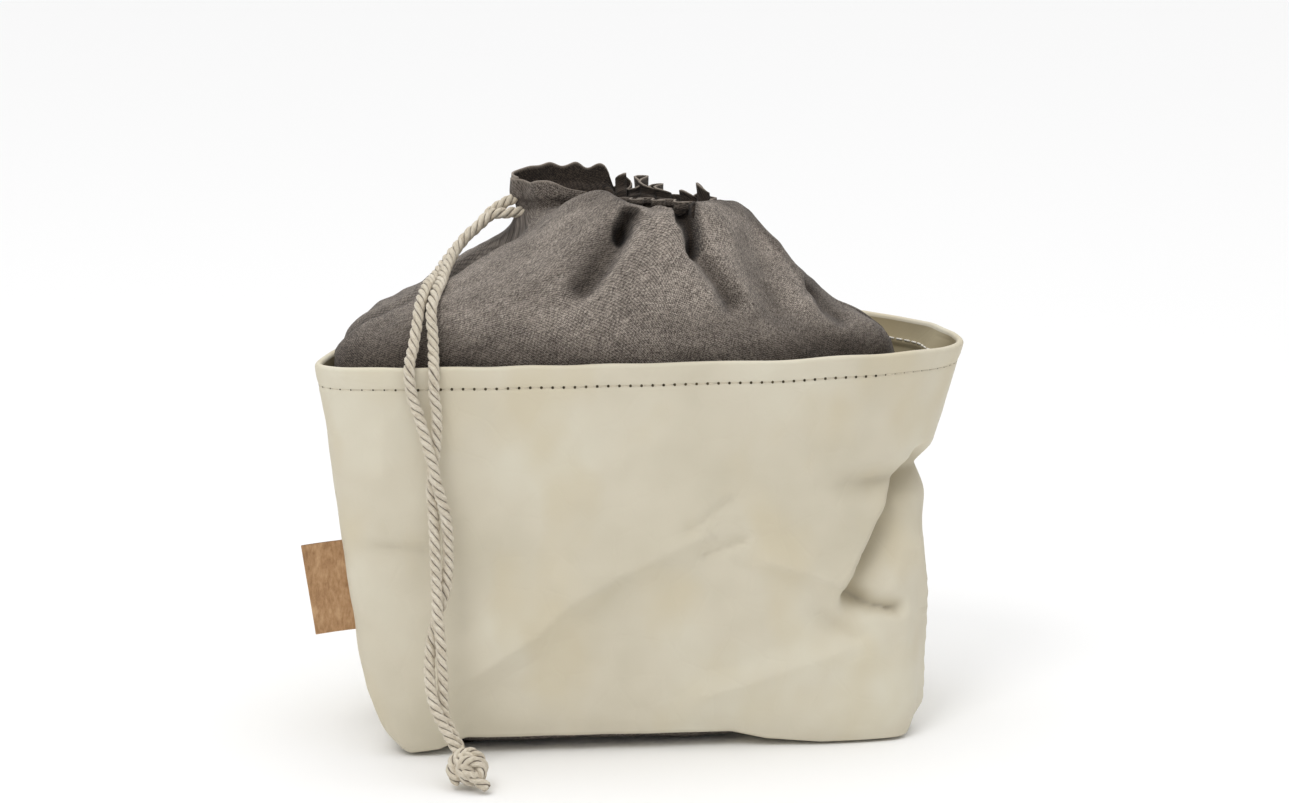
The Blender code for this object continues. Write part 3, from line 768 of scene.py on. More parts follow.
def swell(points, size, seed):
    """A smooth random rise and fall between about -1 and 1, with humps of one size in mm."""
    dice = np.random.default_rng(seed)
    total = np.zeros(points.shape[:-1])
    for _ in range(9):
        direction = dice.normal(size=3)
        direction *= dice.uniform(0.6, 1.5) / np.linalg.norm(direction)
        total += np.sin(points @ direction * math.tau / (2 * size) + dice.uniform(0, math.tau))
    return total / 3.2


# %% [markdown]
# The wall is now put together. The smooth outline comes first, with its foot lifted a little
# off the floor along most of the front. Then the named creases, the crumples and the padding
# of the hem are added up and pushed along the outward directions.

# %% Outer face of the basket
def paper_surface(rows, count):
    """The creased outer face of the paper basket, at fractional rows of its table."""
    places = span_positions(PAPER_SPANS, count)
    grid = surface(PAPER_SECTIONS, rows, places, places)
    lift_front = np.interp(grid[..., 0], *zip(*FOOT_LIFT))
    normals = grid_normals(grid)
    frontness = np.clip(-normals[..., 1] * 2 - 0.6, 0, 1)
    lift = SIDE_LIFT + (lift_front - SIDE_LIFT) * frontness
    low = np.clip(1 - (grid[..., 2] - 3) / 33, 0, 1)
    grid[..., 2] += (lift - 3) * low
    level = level_normals(grid)
    height = crease_height(PAPER_CREASES, grid, normals)
    return grid + level * height[..., None], level, height


def worn(wall):
    """Small crumples, strongest low on the wall and gone at the hem."""
    height = wall[..., 2]
    calm = np.clip((RIM_HEIGHT - 16 - height) / 90, 0, 1)
    rough = 0.35 + 0.65 * calm
    crumple = 0.8 * facets(wall, 130, 5) * rough
    crumple += 0.5 * swell(wall, 26, 3) * calm + 0.12 * swell(wall, 9, 8)
    return (crumple - 0.6) * np.clip((RIM_HEIGHT - 12 - height) / 14, 0, 1)


def hem_profile(below_rim):
    """The folded hem is padded between its edge and its stitch line, where it is pulled in."""
    padded = HEM_PADDING * np.sin(math.pi * np.clip(below_rim / HEM_DEPTH, 0, 1)) ** 0.8
    pulled = STITCH_PULL * np.exp(-((below_rim - HEM_DEPTH) / 0.9) ** 2)
    return padded - pulled


# How the foot turns under: how far in each ring lies and how high, as shares of its lift.
FOOT_TURN = [(3.4, 0.0), (2.6, 0.22), (1.7, 0.42), (0.9, 0.58), (0.35, 0.74), (0.08, 0.88)]
WALL_ROWS = 118
HEM_ROWS = 24
# The painted shade on the whole inside of the basket, where little light reaches.
INSIDE_SHADE = 0.9
FLOOR_INSET = 2.2


def foot_rings(foot, outward):
    """The rings of the underside, from its middle out to just below the foot of the wall."""
    turn = []
    for inward, rise in FOOT_TURN:
        ring = foot - outward * (0.3 + inward * foot[:, 2:3])
        ring[:, 2] = foot[:, 2] * rise
        turn.append(ring)
    hub = np.broadcast_to(np.mean(turn[0], axis=0), foot.shape) * [1, 1, 0]
    return [hub, hub * 0.5 + turn[0] * 0.5] + turn


def crown_rings(rim, outward):
    """The round top of the folded hem, from its outer to its inner side."""
    crown = []
    for angle in np.radians(np.linspace(0, 180, 9)):
        ring = rim - outward * HEM_THICKNESS / 2 * (1 - math.cos(angle))
        ring[:, 2] += HEM_THICKNESS / 2 * math.sin(angle)
        crown.append(ring)
    return crown


def floor_rings(edge):
    """The floor inside, from its edge to its middle."""
    hub = np.broadcast_to(np.mean(edge, axis=0), edge.shape)
    return [edge, edge * 0.5 + hub * 0.5, hub]


def basket_points():
    """Every ring of the basket, from the middle of its underside to the middle of its floor,
    the line where its hem is sewn, the outward directions there, and its painted shade."""
    top = len(PAPER_SECTIONS) - 1
    hem_foot = row_at(PAPER_SECTIONS, RIM_HEIGHT - HEM_DEPTH)
    rows = np.concatenate([np.linspace(0, hem_foot - 0.16, WALL_ROWS),
                           np.linspace(hem_foot - 0.13, top, HEM_ROWS)])
    wall, level, height = paper_surface(rows, PAPER_AROUND)
    below_rim = wall[-1:, :, 2] - wall[..., 2]
    out = worn(wall) + hem_profile(below_rim) * (below_rim < 20)
    # painted shade in the creases that sink into the outer wall
    shade = np.clip(-(height + out + 1.2) / 16, 0, 0.4)
    wall = wall + level * out[..., None]
    wavy = 0.35 * swell(wall[-1] * [1, 1, 0], 16, 12)
    wall[..., 2] += wavy * np.clip(1 - below_rim / 20, 0, 1)
    seam = np.stack([[np.interp(-HEM_DEPTH, -below_rim[:, column], wall[:, column, axis])
                      for axis in range(3)] for column in range(PAPER_AROUND)])
    # the wall makes room for the crown, which rises as far again above it
    wall[..., 2] -= HEM_THICKNESS / 2 * np.clip(1 - below_rim / 8, 0, 1)
    under = foot_rings(wall[0], level[0])
    outer = under + list(wall[:-1])
    crown = crown_rings(wall[-1], level[-1])
    hem = list((wall - level * HEM_THICKNESS)[-2:2 - HEM_ROWS:-1])
    # behind a deep crease the inner face stands further off, because it has fewer rows
    behind = PAPER_THICKNESS + 0.3 * np.clip(-height - 3, 0, None)[..., None]
    inside = [wall[1 - HEM_ROWS] - level[1 - HEM_ROWS] * (PAPER_THICKNESS + 0.2)]
    inside += list((wall - level * behind)[-HEM_ROWS::-2][:-1])
    floor_edge = under[2] - level[0] * FLOOR_INSET
    floor_edge[:, 2] = PAPER_THICKNESS
    rings = outer + crown + hem + inside + floor_rings(floor_edge)
    shades = np.zeros((len(rings), PAPER_AROUND))
    shades[len(under):len(outer)] = shade[:-1]
    shades[len(outer) + len(crown):] = INSIDE_SHADE
    return np.array(rings), seam, level[-HEM_ROWS], shades


def closed_sideways(rings):
    """Repeat the first column, so that the grid can be sewn shut along it."""
    return np.concatenate([rings, rings[:, :1]], axis=1)


def cloth_map(points, middle):
    """How far each point lies round the cloth from a middle column, and up it, in mm."""
    step = np.linalg.norm(np.diff(points, axis=1), axis=2)
    around = np.concatenate([np.zeros((len(points), 1)), np.cumsum(step, axis=1)], axis=1)
    around -= around[:, middle:middle + 1]
    rise = np.linalg.norm(np.diff(points, axis=0), axis=2)
    up = np.concatenate([np.zeros((1, points.shape[1])), np.cumsum(rise, axis=0)])
    return np.stack([around, up], axis=2)


# %% [markdown]
# The finish is pale and matt, a little warmer in some patches than in others, with a fine
# leathery grain.

# %% Paper finish
def paper_finish():
    """Matt cream paper, warmer in patches, with a leathery grain, fine crinkles and painted shade."""
    finish = Finish("washable_paper", 0.62, "Object")
    patches = finish.noise(14.0, detail=3.0, roughness=0.55)
    warm = finish.noise(31.0, detail=2.0, at=finish.scaled((1.0, 1.0, 0.7)))
    grain = finish.noise(900.0, detail=3.0, roughness=0.6)
    base = finish.ramp(patches, (0.34, (204, 196, 175)), (0.5, (212, 204, 184)), (0.68, (218, 212, 193)))
    warmed = finish.blend(finish.range(warm, 0.5, 0.7, 0.0, 0.5), base, linear((206, 194, 165)))
    # painted shade in the creases and on the inside, read from the points' shade attribute
    crease_and_inside_shade = finish.math("MINIMUM", finish.attribute("shade"), 1.0)
    finish.colour(finish.blend(crease_and_inside_shade, warmed, linear((186, 177, 155)), "MULTIPLY"))
    creases = finish.cells(55.0)
    fine = finish.bump(grain, 0.00006, 0.6)
    soft = finish.bump(finish.range(creases, 0.0, 0.06), 0.00025, 0.25, below=fine)
    return finish.relief(finish.bump(finish.noise(60.0, detail=4.0), 0.0006, 0.35, below=soft))


paper = paper_finish()

# %% [markdown]
# The rings become one grid, which is sewn shut on the left. The painted shade of a fold or
# of the inside of the bag is stored on the points, where the finish reads it.

# %% Basket
def make_basket():
    """The basket, its sewn line and the outward directions along it."""
    rings, seam, outward, shades = basket_points()
    points = closed_sideways(rings)
    mesh = bmesh.new()
    shade = mesh.verts.layers.float.new("shade")
    made = add_grid(mesh, points, cloth_map(points, 0))
    for vert, value in zip(made, closed_sideways(shades).ravel()):
        vert[shade] = value
    piece = finish_piece("basket", mesh, paper)
    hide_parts("paper_bag")
    return piece, seam, outward


basket, seam, seam_outward = make_basket()
print("basket:", len(basket.data.polygons), "faces")

# %% [markdown]
# The hem is sewn with a long machine stitch. Outside, the needle has left a row of small
# dark holes with a thread of the paper's own colour between them; inside, the looser white
# bobbin thread stands out more. Each hole is a flat disc coloured with painted shade.

# %% Stitches of the hem
STITCH_LENGTH = 4.8
HOLE_RADIUS = 0.66
HOLE_LIFT = 0.16
HOLE_SHARE = [(-150, 0.5), (-118, 0.6), (-108, 1.0), (96, 1.0), (104, 0.4), (140, 0.35)]
Thread = namedtuple("Thread", "inward radius length colour")
OUTER_THREAD = Thread(-0.06, 0.26, 3.4, (205, 196, 176))
INNER_THREAD = Thread(HEM_THICKNESS + 0.1, 0.50, 3.5, (232, 227, 216))


def plain_finish(name, colour, spread):
    """A matt finish whose brightness wanders by a little."""
    finish = Finish(name, 0.85, "Object")
    tone = finish.noise(400.0, detail=2.0)
    low = [value * (1 - spread) for value in colour]
    high = [min(value * (1 + spread), 255) for value in colour]
    finish.colour(finish.ramp(tone, (0.35, low), (0.65, high)))
    return finish.relief(finish.bump(tone, 0.0001, 0.5))


def stitch_places(line, outward):
    """Places an even stitch apart along a closed line, with their outward and along directions."""
    closed = np.concatenate([line, line[:1]])
    sides = np.concatenate([outward, outward[:1]])
    length = np.concatenate([[0], np.cumsum(np.linalg.norm(np.diff(closed, axis=0), axis=1))])
    wanted = np.arange(0, length[-1] - STITCH_LENGTH / 2, STITCH_LENGTH)
    at = np.stack([np.interp(wanted, length, closed[:, axis]) for axis in range(3)], axis=1)
    out = np.stack([np.interp(wanted, length, sides[:, axis]) for axis in range(3)], axis=1)
    return at, out, np.roll(at, -1, axis=0) - at


def standing(place, along):
    """A matrix that moves a shape to a place and turns its own Z axis along a direction."""
    turned = Vector(along).to_track_quat("Z", "X").to_matrix().to_4x4()
    turned.translation = Vector(place) * MM
    return turned


def make_holes():
    """A row of small discs of painted shade that lie on the paper, one at each needle hole."""
    mesh = bmesh.new()
    places, outward, _ = stitch_places(seam, seam_outward)
    for place, out in zip(places, outward):
        radius = HOLE_RADIUS * np.interp(place[0], *zip(*HOLE_SHARE))
        bmesh.ops.create_circle(mesh, cap_ends=True, segments=8, radius=radius * MM,
                                matrix=standing(place + out * HOLE_LIFT, out))
    # the discs are coloured with painted shade where the holes would look dark
    hole_shade = plain_finish("needle_hole_shade", (70, 62, 46), 0.2)
    return finish_piece("stitch_holes", mesh, hole_shade)


def make_thread(name, thread):
    """A row of short thin cones, one for each stitch."""
    mesh = bmesh.new()
    places, outward, steps = stitch_places(seam - seam_outward * thread.inward, seam_outward)
    for place, step in zip(places, steps):
        bmesh.ops.create_cone(mesh, cap_ends=True, segments=6, radius1=thread.radius * MM,
                              radius2=thread.radius * 0.8 * MM, depth=thread.length * MM,
                              matrix=standing(place + step / 2, step))
    return finish_piece(name, mesh, plain_finish(name, thread.colour, 0.05))


sewn = [make_holes(), make_thread("outer_thread", OUTER_THREAD),
        make_thread("inner_thread", INNER_THREAD)]
for piece in sewn:
    print(piece.name, "has", len(piece.data.polygons), "faces")

# %% [markdown]
# ## The linen bag
# The linen bag fills the basket, bulges over the rim and is gathered by the cord to a neck
# drawn over to the left. Above the casing its header stands up: open on the left, pleated
# tight on the right. It is one grid again, and the gathers come from a table of how far
# the cloth folds in and out at each place round the neck.

# %% Sections of the linen bag
LINEN_THICKNESS = 0.9
LINEN_AROUND = 410
LINEN_SECTIONS = [
    level_section(2.4, -101.5, -36, 106, 62, -36, 8, 5, 4.5, 0, 16),
    level_section(10, -110.5, -43, 113, 69, -36, 8, 5, 4, 0, 17),
    level_section(45, -125.5, -48, 116, 71, -36, 6, 5, 3.2, 0, 22),
    level_section(95, -136, -51, 113, 70, -36, 4, 5, 2.6, 0, 30),
    level_section(140, -144, -54, 113, 69, -36, 2, 5, 2.4, 0, 39),
    level_section(170, -148, -56, 113, 68, -36, 0, 5, 2.3, 0, 44),
    Section(183, 188, 183, 189, -147, -55.5, 105, 66, -35, 0, 3.7, 2.3, 0.05, 37),
    Section(193, 203, 193, 203, -135, -53, 87.5, 62, -33, 0, 3, 2.3, 0.15, 30),
    Section(201, 215, 205, 215, -114, -48.5, 74.5, 55, -30, 0, 2.7, 2.3, 0.3, 21),
    Section(210, 227, 217, 226, -98.5, -42, 62, 46, -26, 0, 2.5, 2.2, 0.5, 13),
    Section(219, 237, 228, 236, -77, -34, 51, 36, -22, 1, 2.4, 2.1, 0.7, 6),
    Section(227, 242.5, 233, 241.5, -61, -25, 42, 27, -18, 1, 2.6, 1.9, 0.88, 0),
    Section(236, 239, 230, 238, -56.5, -13.5, 38, 18, -14, 2, 3, 1.9, 1, 0),
    Section(243, 243.5, 235, 246, -58.5, -15, 39.5, 20.5, -14, 2, 3, 1.9, 1, 0),
    Section(250, 247.5, 237, 254, -58, -14.5, 39, 21, -14, 2, 3, 1.9, 1, 0),
]
NECK_ROW = 12
LIP_ROW = len(LINEN_SECTIONS) - 1
NECK_SPANS = [5, 8, 18, 17, 17, 16, 9, 6]

# The lip of the header, at places 0 to 8 round it from the left by the front. The left
# pocket stands open and tall, the back right is gathered to narrow ruffles between places
# 5.3 and 6, and the rest lies low.
LIP_HEIGHTS = [
    (0, 250), (0.5, 250.4), (0.8, 248.6), (0.96, 250.3), (1.18, 250.6), (1.4, 246.9), (1.66, 245),
    (2, 242.5), (2.35, 242), (2.65, 241), (3, 239), (3.4, 237.5), (3.7, 238), (4, 236), (4.3, 237.5),
    (4.6, 238.5), (4.7, 241), (4.77, 246.5), (4.85, 241), (4.95, 237.5), (5.0, 239), (5.06, 243),
    (5.14, 239), (5.3, 239), (5.36, 243.5), (5.44, 244), (5.5, 240), (5.55, 247), (5.65, 247.6),
    (5.7, 241), (5.75, 242), (5.79, 249.2), (5.87, 249.4), (5.92, 243), (5.96, 241), (6.0, 250.5),
    (6.05, 253.5), (6.14, 254), (6.22, 251.8), (6.28, 250.4), (6.4, 255), (6.5, 253), (6.6, 252),
    (6.76, 255), (6.9, 253.4), (7.1, 253.6), (7.34, 252), (7.7, 250.4), (8, 250),
]

# %% [markdown]
# Two deep hollows open between the gathers of the front, and folds run down from them. The
# hollows push the cloth straight back, while the folds are creases like those of the paper,
# only softer, because linen has no crisp lines.

# %% Folds of the linen bag
# How much the crest of the front bulge is raised at each x.
CREST_LIFT = [(-70, 0), (-44, 1.5), (-30, 4.0), (-18, 3.2), (-10, -0.5), (-2, -1.5), (8, -2.0), (13, 0.0),
              (20, 5.0), (32, 6.0), (42, 3.5), (56, 0)]

# Deep hollows between the gathers of the front, along paths seen square on as (x, z).
Hollow = namedtuple("Hollow", "path width depth")
HOLLOWS = [
    Hollow([(-9.8, 235.5), (-12.8, 232)], 5.2, 13.0),
    Hollow([(15, 236), (16.6, 230), (17.6, 224.5)], 5.4, 16.5),
    Hollow([(44, 236), (49, 224), (52, 214)], 5.0, 3.0),
]
CORD_EXIT = (-58.5, -3.0, 237.0)
CASING_DIMPLE = 1.5
CASING_SEAM = 0.6

# The edge of the flap of cloth that lies over the right shoulder; behind it the cloth is in shade.
FLAP_EDGE = [(30, 240), (44, 232), (56, 219), (65, 207), (70, 200)]

LINEN_CREASES = {
    "front": [
        Crease([(-15, 228), (-24, 218), (-31, 209)], -7.5, 11, 8, 0.1),
        Crease([(-7, 236), (-10, 226), (-22, 208), (-40, 193)], 4.2, 4.5, 12, 0.4),
        Crease([(-26, 243), (-38, 234), (-52, 222)], -2.6, 9, 9, 0.0),
        Crease([(-56, 220), (-66, 209), (-76, 200)], -2.0, 12, 10, 0.0),
        Crease([(-30, 240), (-52, 218), (-80, 196)], 2.2, 12, 14, 0.1),
        Crease([(20, 221), (27, 211), (34, 202)], -6.5, 7, 9, 0.2),
        Crease([(13, 230), (15, 220), (24, 207)], 2.6, 8, 4, 0.3),
        Crease([(6, 236), (9, 218), (24, 200)], 3.0, 9, 7, 0.3),
        Crease([(44, 222), (49, 208), (54, 198)], -3.0, 10, 10, 0.1),
        Crease(FLAP_EDGE, 4.2, 3, 16, 0.5),
        Crease([(70, 200), (77, 194), (84, 190)], -5.0, 9, 6, 0.2),
        Crease([(72, 196), (82, 192), (94, 187), (104, 180)], 3.5, 7, 13, 0.3),
        Crease([(-96, 203), (-60, 214), (-38, 230)], 2.2, 14, 16, 0.0),
        Crease([(-118, 196), (-100, 206), (-84, 214)], -1.8, 8, 6, 0.4),
        Crease([(-10, 196), (16, 190), (44, 192)], -1.6, 10, 8, 0.1),
    ],
    "right": [
        Crease([(2, 218), (4, 200), (0, 184)], -7.0, 10, 9, 0.2),
    ],
    "back": [
        Crease([(20, 240), (26, 222), (44, 200)], -6.5, 9, 10, 0.3),
        Crease([(-6, 240), (-12, 220), (-24, 196)], -6.0, 9, 9, 0.3),
        Crease([(-36, 238), (-56, 216), (-86, 196)], -5.0, 11, 11, 0.3),
        Crease([(6, 240), (10, 222), (14, 204)], 3.0, 9, 9, 0.2),
        Crease([(-22, 240), (-36, 218), (-54, 198)], 2.6, 9, 9, 0.2),
    ],
    "left": [
        Crease([(-12, 224), (-18, 206), (-24, 188)], -3.0, 11, 12, 0.1),
    ],
}


# %% [markdown]
# Cloth that is drawn up on a cord folds in waves, out and back, and each wave leans over its
# sides a little, which gives the tight ruffles their round ends. So each place round the
# neck gets one push outwards and one sideways.

# %% Gathers of the neck
def drawn_tight(places):
    """1 where the cord holds the cloth tight, 0 round the open left pocket."""
    return np.clip((places - 1.6) / 0.5, 0, 1) * np.clip((6.0 - places) / 0.4, 0, 1)


def pleat_phase(places):
    """How far round its waves the gathered cloth has come: the ruffles at the back are closest."""
    turns = np.interp(places, [1.6, 2, 4, 5.3, 6.0, 6.4], [0, 0.5, 7.5, 11.5, 15.6, 16])
    return math.tau * turns + 0.5 * np.sin(places * 5.3)


def pleats(places):
    """How far the gathered cloth folds out and sideways round the neck, in mm."""
    drawn = drawn_tight(places) * np.clip(np.abs(places - 4) / 0.5, 0.2, 1)
    size = np.interp(places, [2, 3, 4, 5.2, 5.4, 5.9, 6.1], [2.6, 2.8, 1.8, 2.2, 3.6, 3.6, 2.0])
    out = size * np.sin(pleat_phase(places)) * drawn
    loose = 1.3 * np.sin(places * math.pi * 1.9 + 0.7) * (1 - drawn_tight(places))
    sideways = -0.55 * size * np.sin(2 * pleat_phase(places)) * drawn
    return out + loose, sideways


# %% [markdown]
# Cloth is darker where little light reaches: in a hollow or a fold, just above the rim of the
# basket, round the flanks, near the neck and behind the flap that lies over the right shoulder.
# The light of the scene does most of that, and painted shade in the colour adds the rest.

# %% Hollows and painted shade
def rounded(values, times):
    """A closed row of values with its corners rounded off."""
    for _ in range(times):
        values = (np.roll(values, 1) + 2 * values + np.roll(values, -1)) / 4
    return values


def hollow_depth(grid, frontness):
    """How far back the front hollows push each point."""
    depth = np.zeros(grid.shape[:2])
    for hollow in HOLLOWS:
        distance, _ = path_offset(hollow.path, grid[..., 0], grid[..., 2])
        reach = np.clip(distance / hollow.width, 0, 1)
        depth = np.maximum(depth, hollow.depth * (1 - reach**2.6))
    return depth * frontness


# How far a hollow and a fold sink where their painted shade is full, and where the painted shade starts
# and how far it grows above the rim, round the flanks and behind the flap.
FULL_HOLLOW = 14.0
FULL_FOLD = 6.0
RIM_SHADE_TOP = 197.0
RIM_SHADE_DEPTH = 16.0
BULGE_MIDDLE = -8.0
FLANK_START = 34.0
FLANK_WIDTH = 60.0
FLAP_SHADE_WIDTH = 16.0


def fold_shade(grid, height, pushed, header):
    """How much painted shade darkens each point, 0 to 1: in hollows and folds, low down, on the
    flanks and behind the flap, plus the header's share.
    """
    # each term is painted shade: in folds, low above the rim, on the flanks and behind the flap
    sunk_shade = np.clip(-height / FULL_FOLD, -0.3, 1)
    low = np.clip((RIM_SHADE_TOP - grid[..., 2]) / RIM_SHADE_DEPTH, 0, 1)
    flank_shade = np.clip((np.abs(grid[..., 0] - BULGE_MIDDLE) - FLANK_START) / FLANK_WIDTH, 0, 1)
    distance, side = path_offset(FLAP_EDGE, grid[..., 0], grid[..., 2])
    fading = np.clip(distance / 1.5, 0, 1) * np.clip(1.2 - distance / FLAP_SHADE_WIDTH, 0, 1)
    behind = (side > 0) * fading
    folds = 0.9 * (pushed / FULL_HOLLOW) ** 1.5 + 0.65 * sunk_shade
    return np.clip(folds + 0.5 * low + 0.3 * flank_shade + 0.45 * behind + header, 0, 1)


# %% [markdown]
# Now the bag is put together as the basket was. Below the neck the cloth takes its creases
# and wrinkles, and towards the neck these give way to the gathers. The header flares above
# the cord, and a faint line shows where its hem is sewn.

# %% Outer face of the linen bag
def raise_header(grid, above_neck, body, neck):
    """Stretch the rows above the neck up to the uneven lip."""
    lip = rounded(np.interp(neck, *zip(*LIP_HEIGHTS)), 5)
    low = surface(LINEN_SECTIONS, np.array([float(NECK_ROW)]), body, neck)[0, :, 2]
    grid[..., 2] = np.where(above_neck > 0, low + (lip - low) * above_neck, grid[..., 2])


def linen_surface(rows, count):
    """The outer face of the linen bag, at fractional rows of its table; the same bag before it
    is creased and gathered, on which the cloth is measured; and its painted shade."""
    body = span_positions(PAPER_SPANS, count)
    neck = span_positions(NECK_SPANS, count)
    grid = surface(LINEN_SECTIONS, rows, body, neck)
    smooth = grid.copy()
    above_neck = np.clip((rows - NECK_ROW) / (LIP_ROW - NECK_ROW), 0, 1)[:, None]
    raise_header(grid, above_neck, body, neck)
    normals = grid_normals(grid)
    level = level_normals(grid)
    height = crease_height(LINEN_CREASES, grid, normals)
    in_front = np.clip((2 - grid[..., 1]) / 10, 0, 1)
    run_in = 2.2 - 1.4 * in_front
    rise = np.clip((rows[:, None] - NECK_ROW + run_in) / run_in, 0, 1) ** 1.6
    flare = 1 + 0.35 * above_neck
    out, sideways = pleats(neck)
    along = np.stack([-level[..., 1], level[..., 0], np.zeros(height.shape)], axis=2)
    wrinkle = 0.5 * swell(grid * [1, 1, 0.6], 13, 21) + 0.22 * swell(grid, 5, 22)
    crest = np.clip(1 - np.abs(rows - 10.9) / 1.7, 0, 1)[:, None] * in_front
    below_neck = np.clip((NECK_ROW + 0.15 - rows) / 0.5, 0, 1)[:, None]
    pushed = hollow_depth(grid, below_neck * np.clip((-5 - grid[..., 1]) / 6, 0, 1))
    lifted = np.interp(grid[..., 0], *zip(*CREST_LIFT)) * crest**0.7
    dimple = CASING_DIMPLE * np.exp(-(np.linalg.norm(grid - CORD_EXIT, axis=2) / 4.5) ** 4)
    seam = CASING_SEAM * np.exp(-((above_neck - 0.3) / 0.07) ** 2)
    grid = grid + normals * ((height + wrinkle) * (1 - rise))[..., None]
    grid = grid + level * (out[None] * rise * flare - dimple - seam)[..., None]
    grid = grid + along * (sideways[None] * rise * flare)[..., None]
    grid[..., 1] += pushed
    grid[..., 2] += lifted - 0.25 * pushed
    # painted shade near the neck, and more on the header where the cord draws it tight
    neck_shade = 0.42 * np.clip((rows[:, None] - 9.6) / 1.6, 0, 1)
    header = neck_shade + (above_neck > 0) * (0.12 + 0.26 * drawn_tight(neck))
    shade = fold_shade(grid, height * (1 - rise), pushed, header)
    return grid, smooth, shade


def linen_points():
    """Every ring of the linen bag, from its floor to its lip: creased, smooth, and its shade."""
    rows = np.concatenate([np.linspace(0, 4.6, 9), np.linspace(4.8, NECK_ROW - 3.05, 46),
                           np.linspace(NECK_ROW - 3, NECK_ROW, 42),
                           np.linspace(NECK_ROW + 0.08, LIP_ROW, 20)])
    grids = []
    for wall in linen_surface(rows, LINEN_AROUND):
        hub = np.broadcast_to(np.mean(wall[0], axis=0), wall[0].shape)
        grids.append(closed_sideways(np.concatenate([[hub, hub * 0.5 + wall[0] * 0.5], wall])))
    return grids


# %% [markdown]
# Linen is a plain weave of uneven threads. The cloth map gives the thread directions: two
# sets of waves, one across the other, make the raised thread crossings, and long noise
# along each direction makes the slubs, the thicker lighter stretches that mark real linen.

# %% Linen finish
THREAD_PITCH = 1.2
SHADOW_TINT = linear((112, 104, 97))


def linen_finish(name, inside_shade_share):
    """Grey-brown plain weave with the painted shade stored on the points; the share adds painted
    shade all over.
    """
    finish = Finish(name, 0.9, "UV")
    wander = finish.noise(0.07, detail=3.0)
    warp = finish.waves(math.tau / 20 / THREAD_PITCH, "X", distortion=0.5)
    weft = finish.waves(math.tau / 20 / THREAD_PITCH, "Y", distortion=0.5)
    checks = finish.math("ABSOLUTE", finish.math("SUBTRACT", warp, weft))
    long_slubs = finish.noise(1.3, detail=2.0, roughness=0.6, at=finish.scaled((1.0, 0.2, 1.0)))
    cross_slubs = finish.noise(1.3, detail=2.0, roughness=0.6, at=finish.scaled((0.2, 1.0, 1.0)))
    slubs = finish.math("MULTIPLY_ADD", long_slubs, 0.5, finish.math("MULTIPLY", cross_slubs, 0.5))
    speck = finish.noise(1.5, detail=2.0, roughness=0.7)
    tone = finish.math("MULTIPLY_ADD", checks, 0.10, finish.math("MULTIPLY", slubs, 0.48))
    tone = finish.math("MULTIPLY_ADD", speck, 0.42, tone)
    tone = finish.math("MULTIPLY_ADD", finish.math("SUBTRACT", wander, 0.5), 0.10, tone)
    cloth = finish.ramp(tone, (0.38, (66, 59, 54)), (0.48, (124, 115, 107)), (0.58, (190, 179, 167)))
    # painted shade: the points' own share, plus the share given for the inside
    shade = finish.math("MINIMUM", finish.math("ADD", finish.attribute("shade"), inside_shade_share), 1.0)
    shaded = finish.blend(shade, cloth, SHADOW_TINT, "MULTIPLY")
    # painted highlight: a paler colour along the lip, read from the edge attribute
    edge = finish.math("MULTIPLY", finish.attribute("edge"), 0.65)
    finish.colour(finish.blend(edge, shaded, linear((170, 158, 145))))
    finish.shader.inputs["Sheen Weight"].default_value = 0.10
    finish.shader.inputs["Sheen Roughness"].default_value = 0.5
    weave = finish.math("MULTIPLY_ADD", checks, 0.25, finish.math("ADD", slubs, speck))
    return finish.relief(finish.bump(weave, 0.0006, 0.8))


linen = linen_finish("linen", 0.0)
# the inside of the bag gets a copy of the linen with painted shade
linen_inside_painted_shade = linen_finish("linen_inside_painted_shade", 0.6)

# %% [markdown]
# The bag is a single grid, and a Solidify modifier gives the cloth its thickness and puts a
# copy of the finish with painted shade on the inside. The light line along the lip is a
# painted highlight: its last two rows are given a paler colour.

# %% Linen bag
def make_linen_bag():
    """The linen bag, with its painted shade and a painted highlight on its lip stored on its points."""
    points, smooth, shades = linen_points()
    mesh = bmesh.new()
    middle = int(LINEN_AROUND * sum(PAPER_SPANS[:2]) / sum(PAPER_SPANS))
    edge = mesh.verts.layers.float.new("edge")
    shade = mesh.verts.layers.float.new("shade")
    made = add_grid(mesh, points, cloth_map(smooth, middle))
    columns = LINEN_AROUND + 1
    # a painted highlight along the lip on the last two rows
    for row, share in ((-1, 1.0), (-2, 0.35)):
        start = (len(points) + row) * columns
        for vert in made[start:start + columns]:
            vert[edge] = share
    for vert, value in zip(made, shades.ravel()):
        vert[shade] = value
    piece = finish_piece("linen_bag", mesh, linen)
    wall = piece.modifiers.new("cloth thickness", "SOLIDIFY")
    wall.thickness = LINEN_THICKNESS * MM
    wall.offset = -1.0
    wall.material_offset = 1
    piece.data.materials.append(linen_inside_painted_shade)
    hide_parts("linen_liner")
    return piece


linen_bag = make_linen_bag()
print("linen bag:", len(linen_bag.data.polygons), "faces")

# %% [markdown]
# ## The side label
# A small kraft tab is caught in the left seam. It is one strip folded at its outer edge and
# sewn in at the other, so its outer edge is round and its two leaves lie close together.

# %% Label
LABEL_FOOT = 54.5
LABEL_HEIGHT = 41.0
LABEL_WIDTH = 18.0
LABEL_THICKNESS = 1.6
LABEL_COLUMN = 3
LABEL_COLUMNS = 72
LABEL_ROWS = 42
LEAF_STEPS = 17
TOUCH_GAP = 0.7


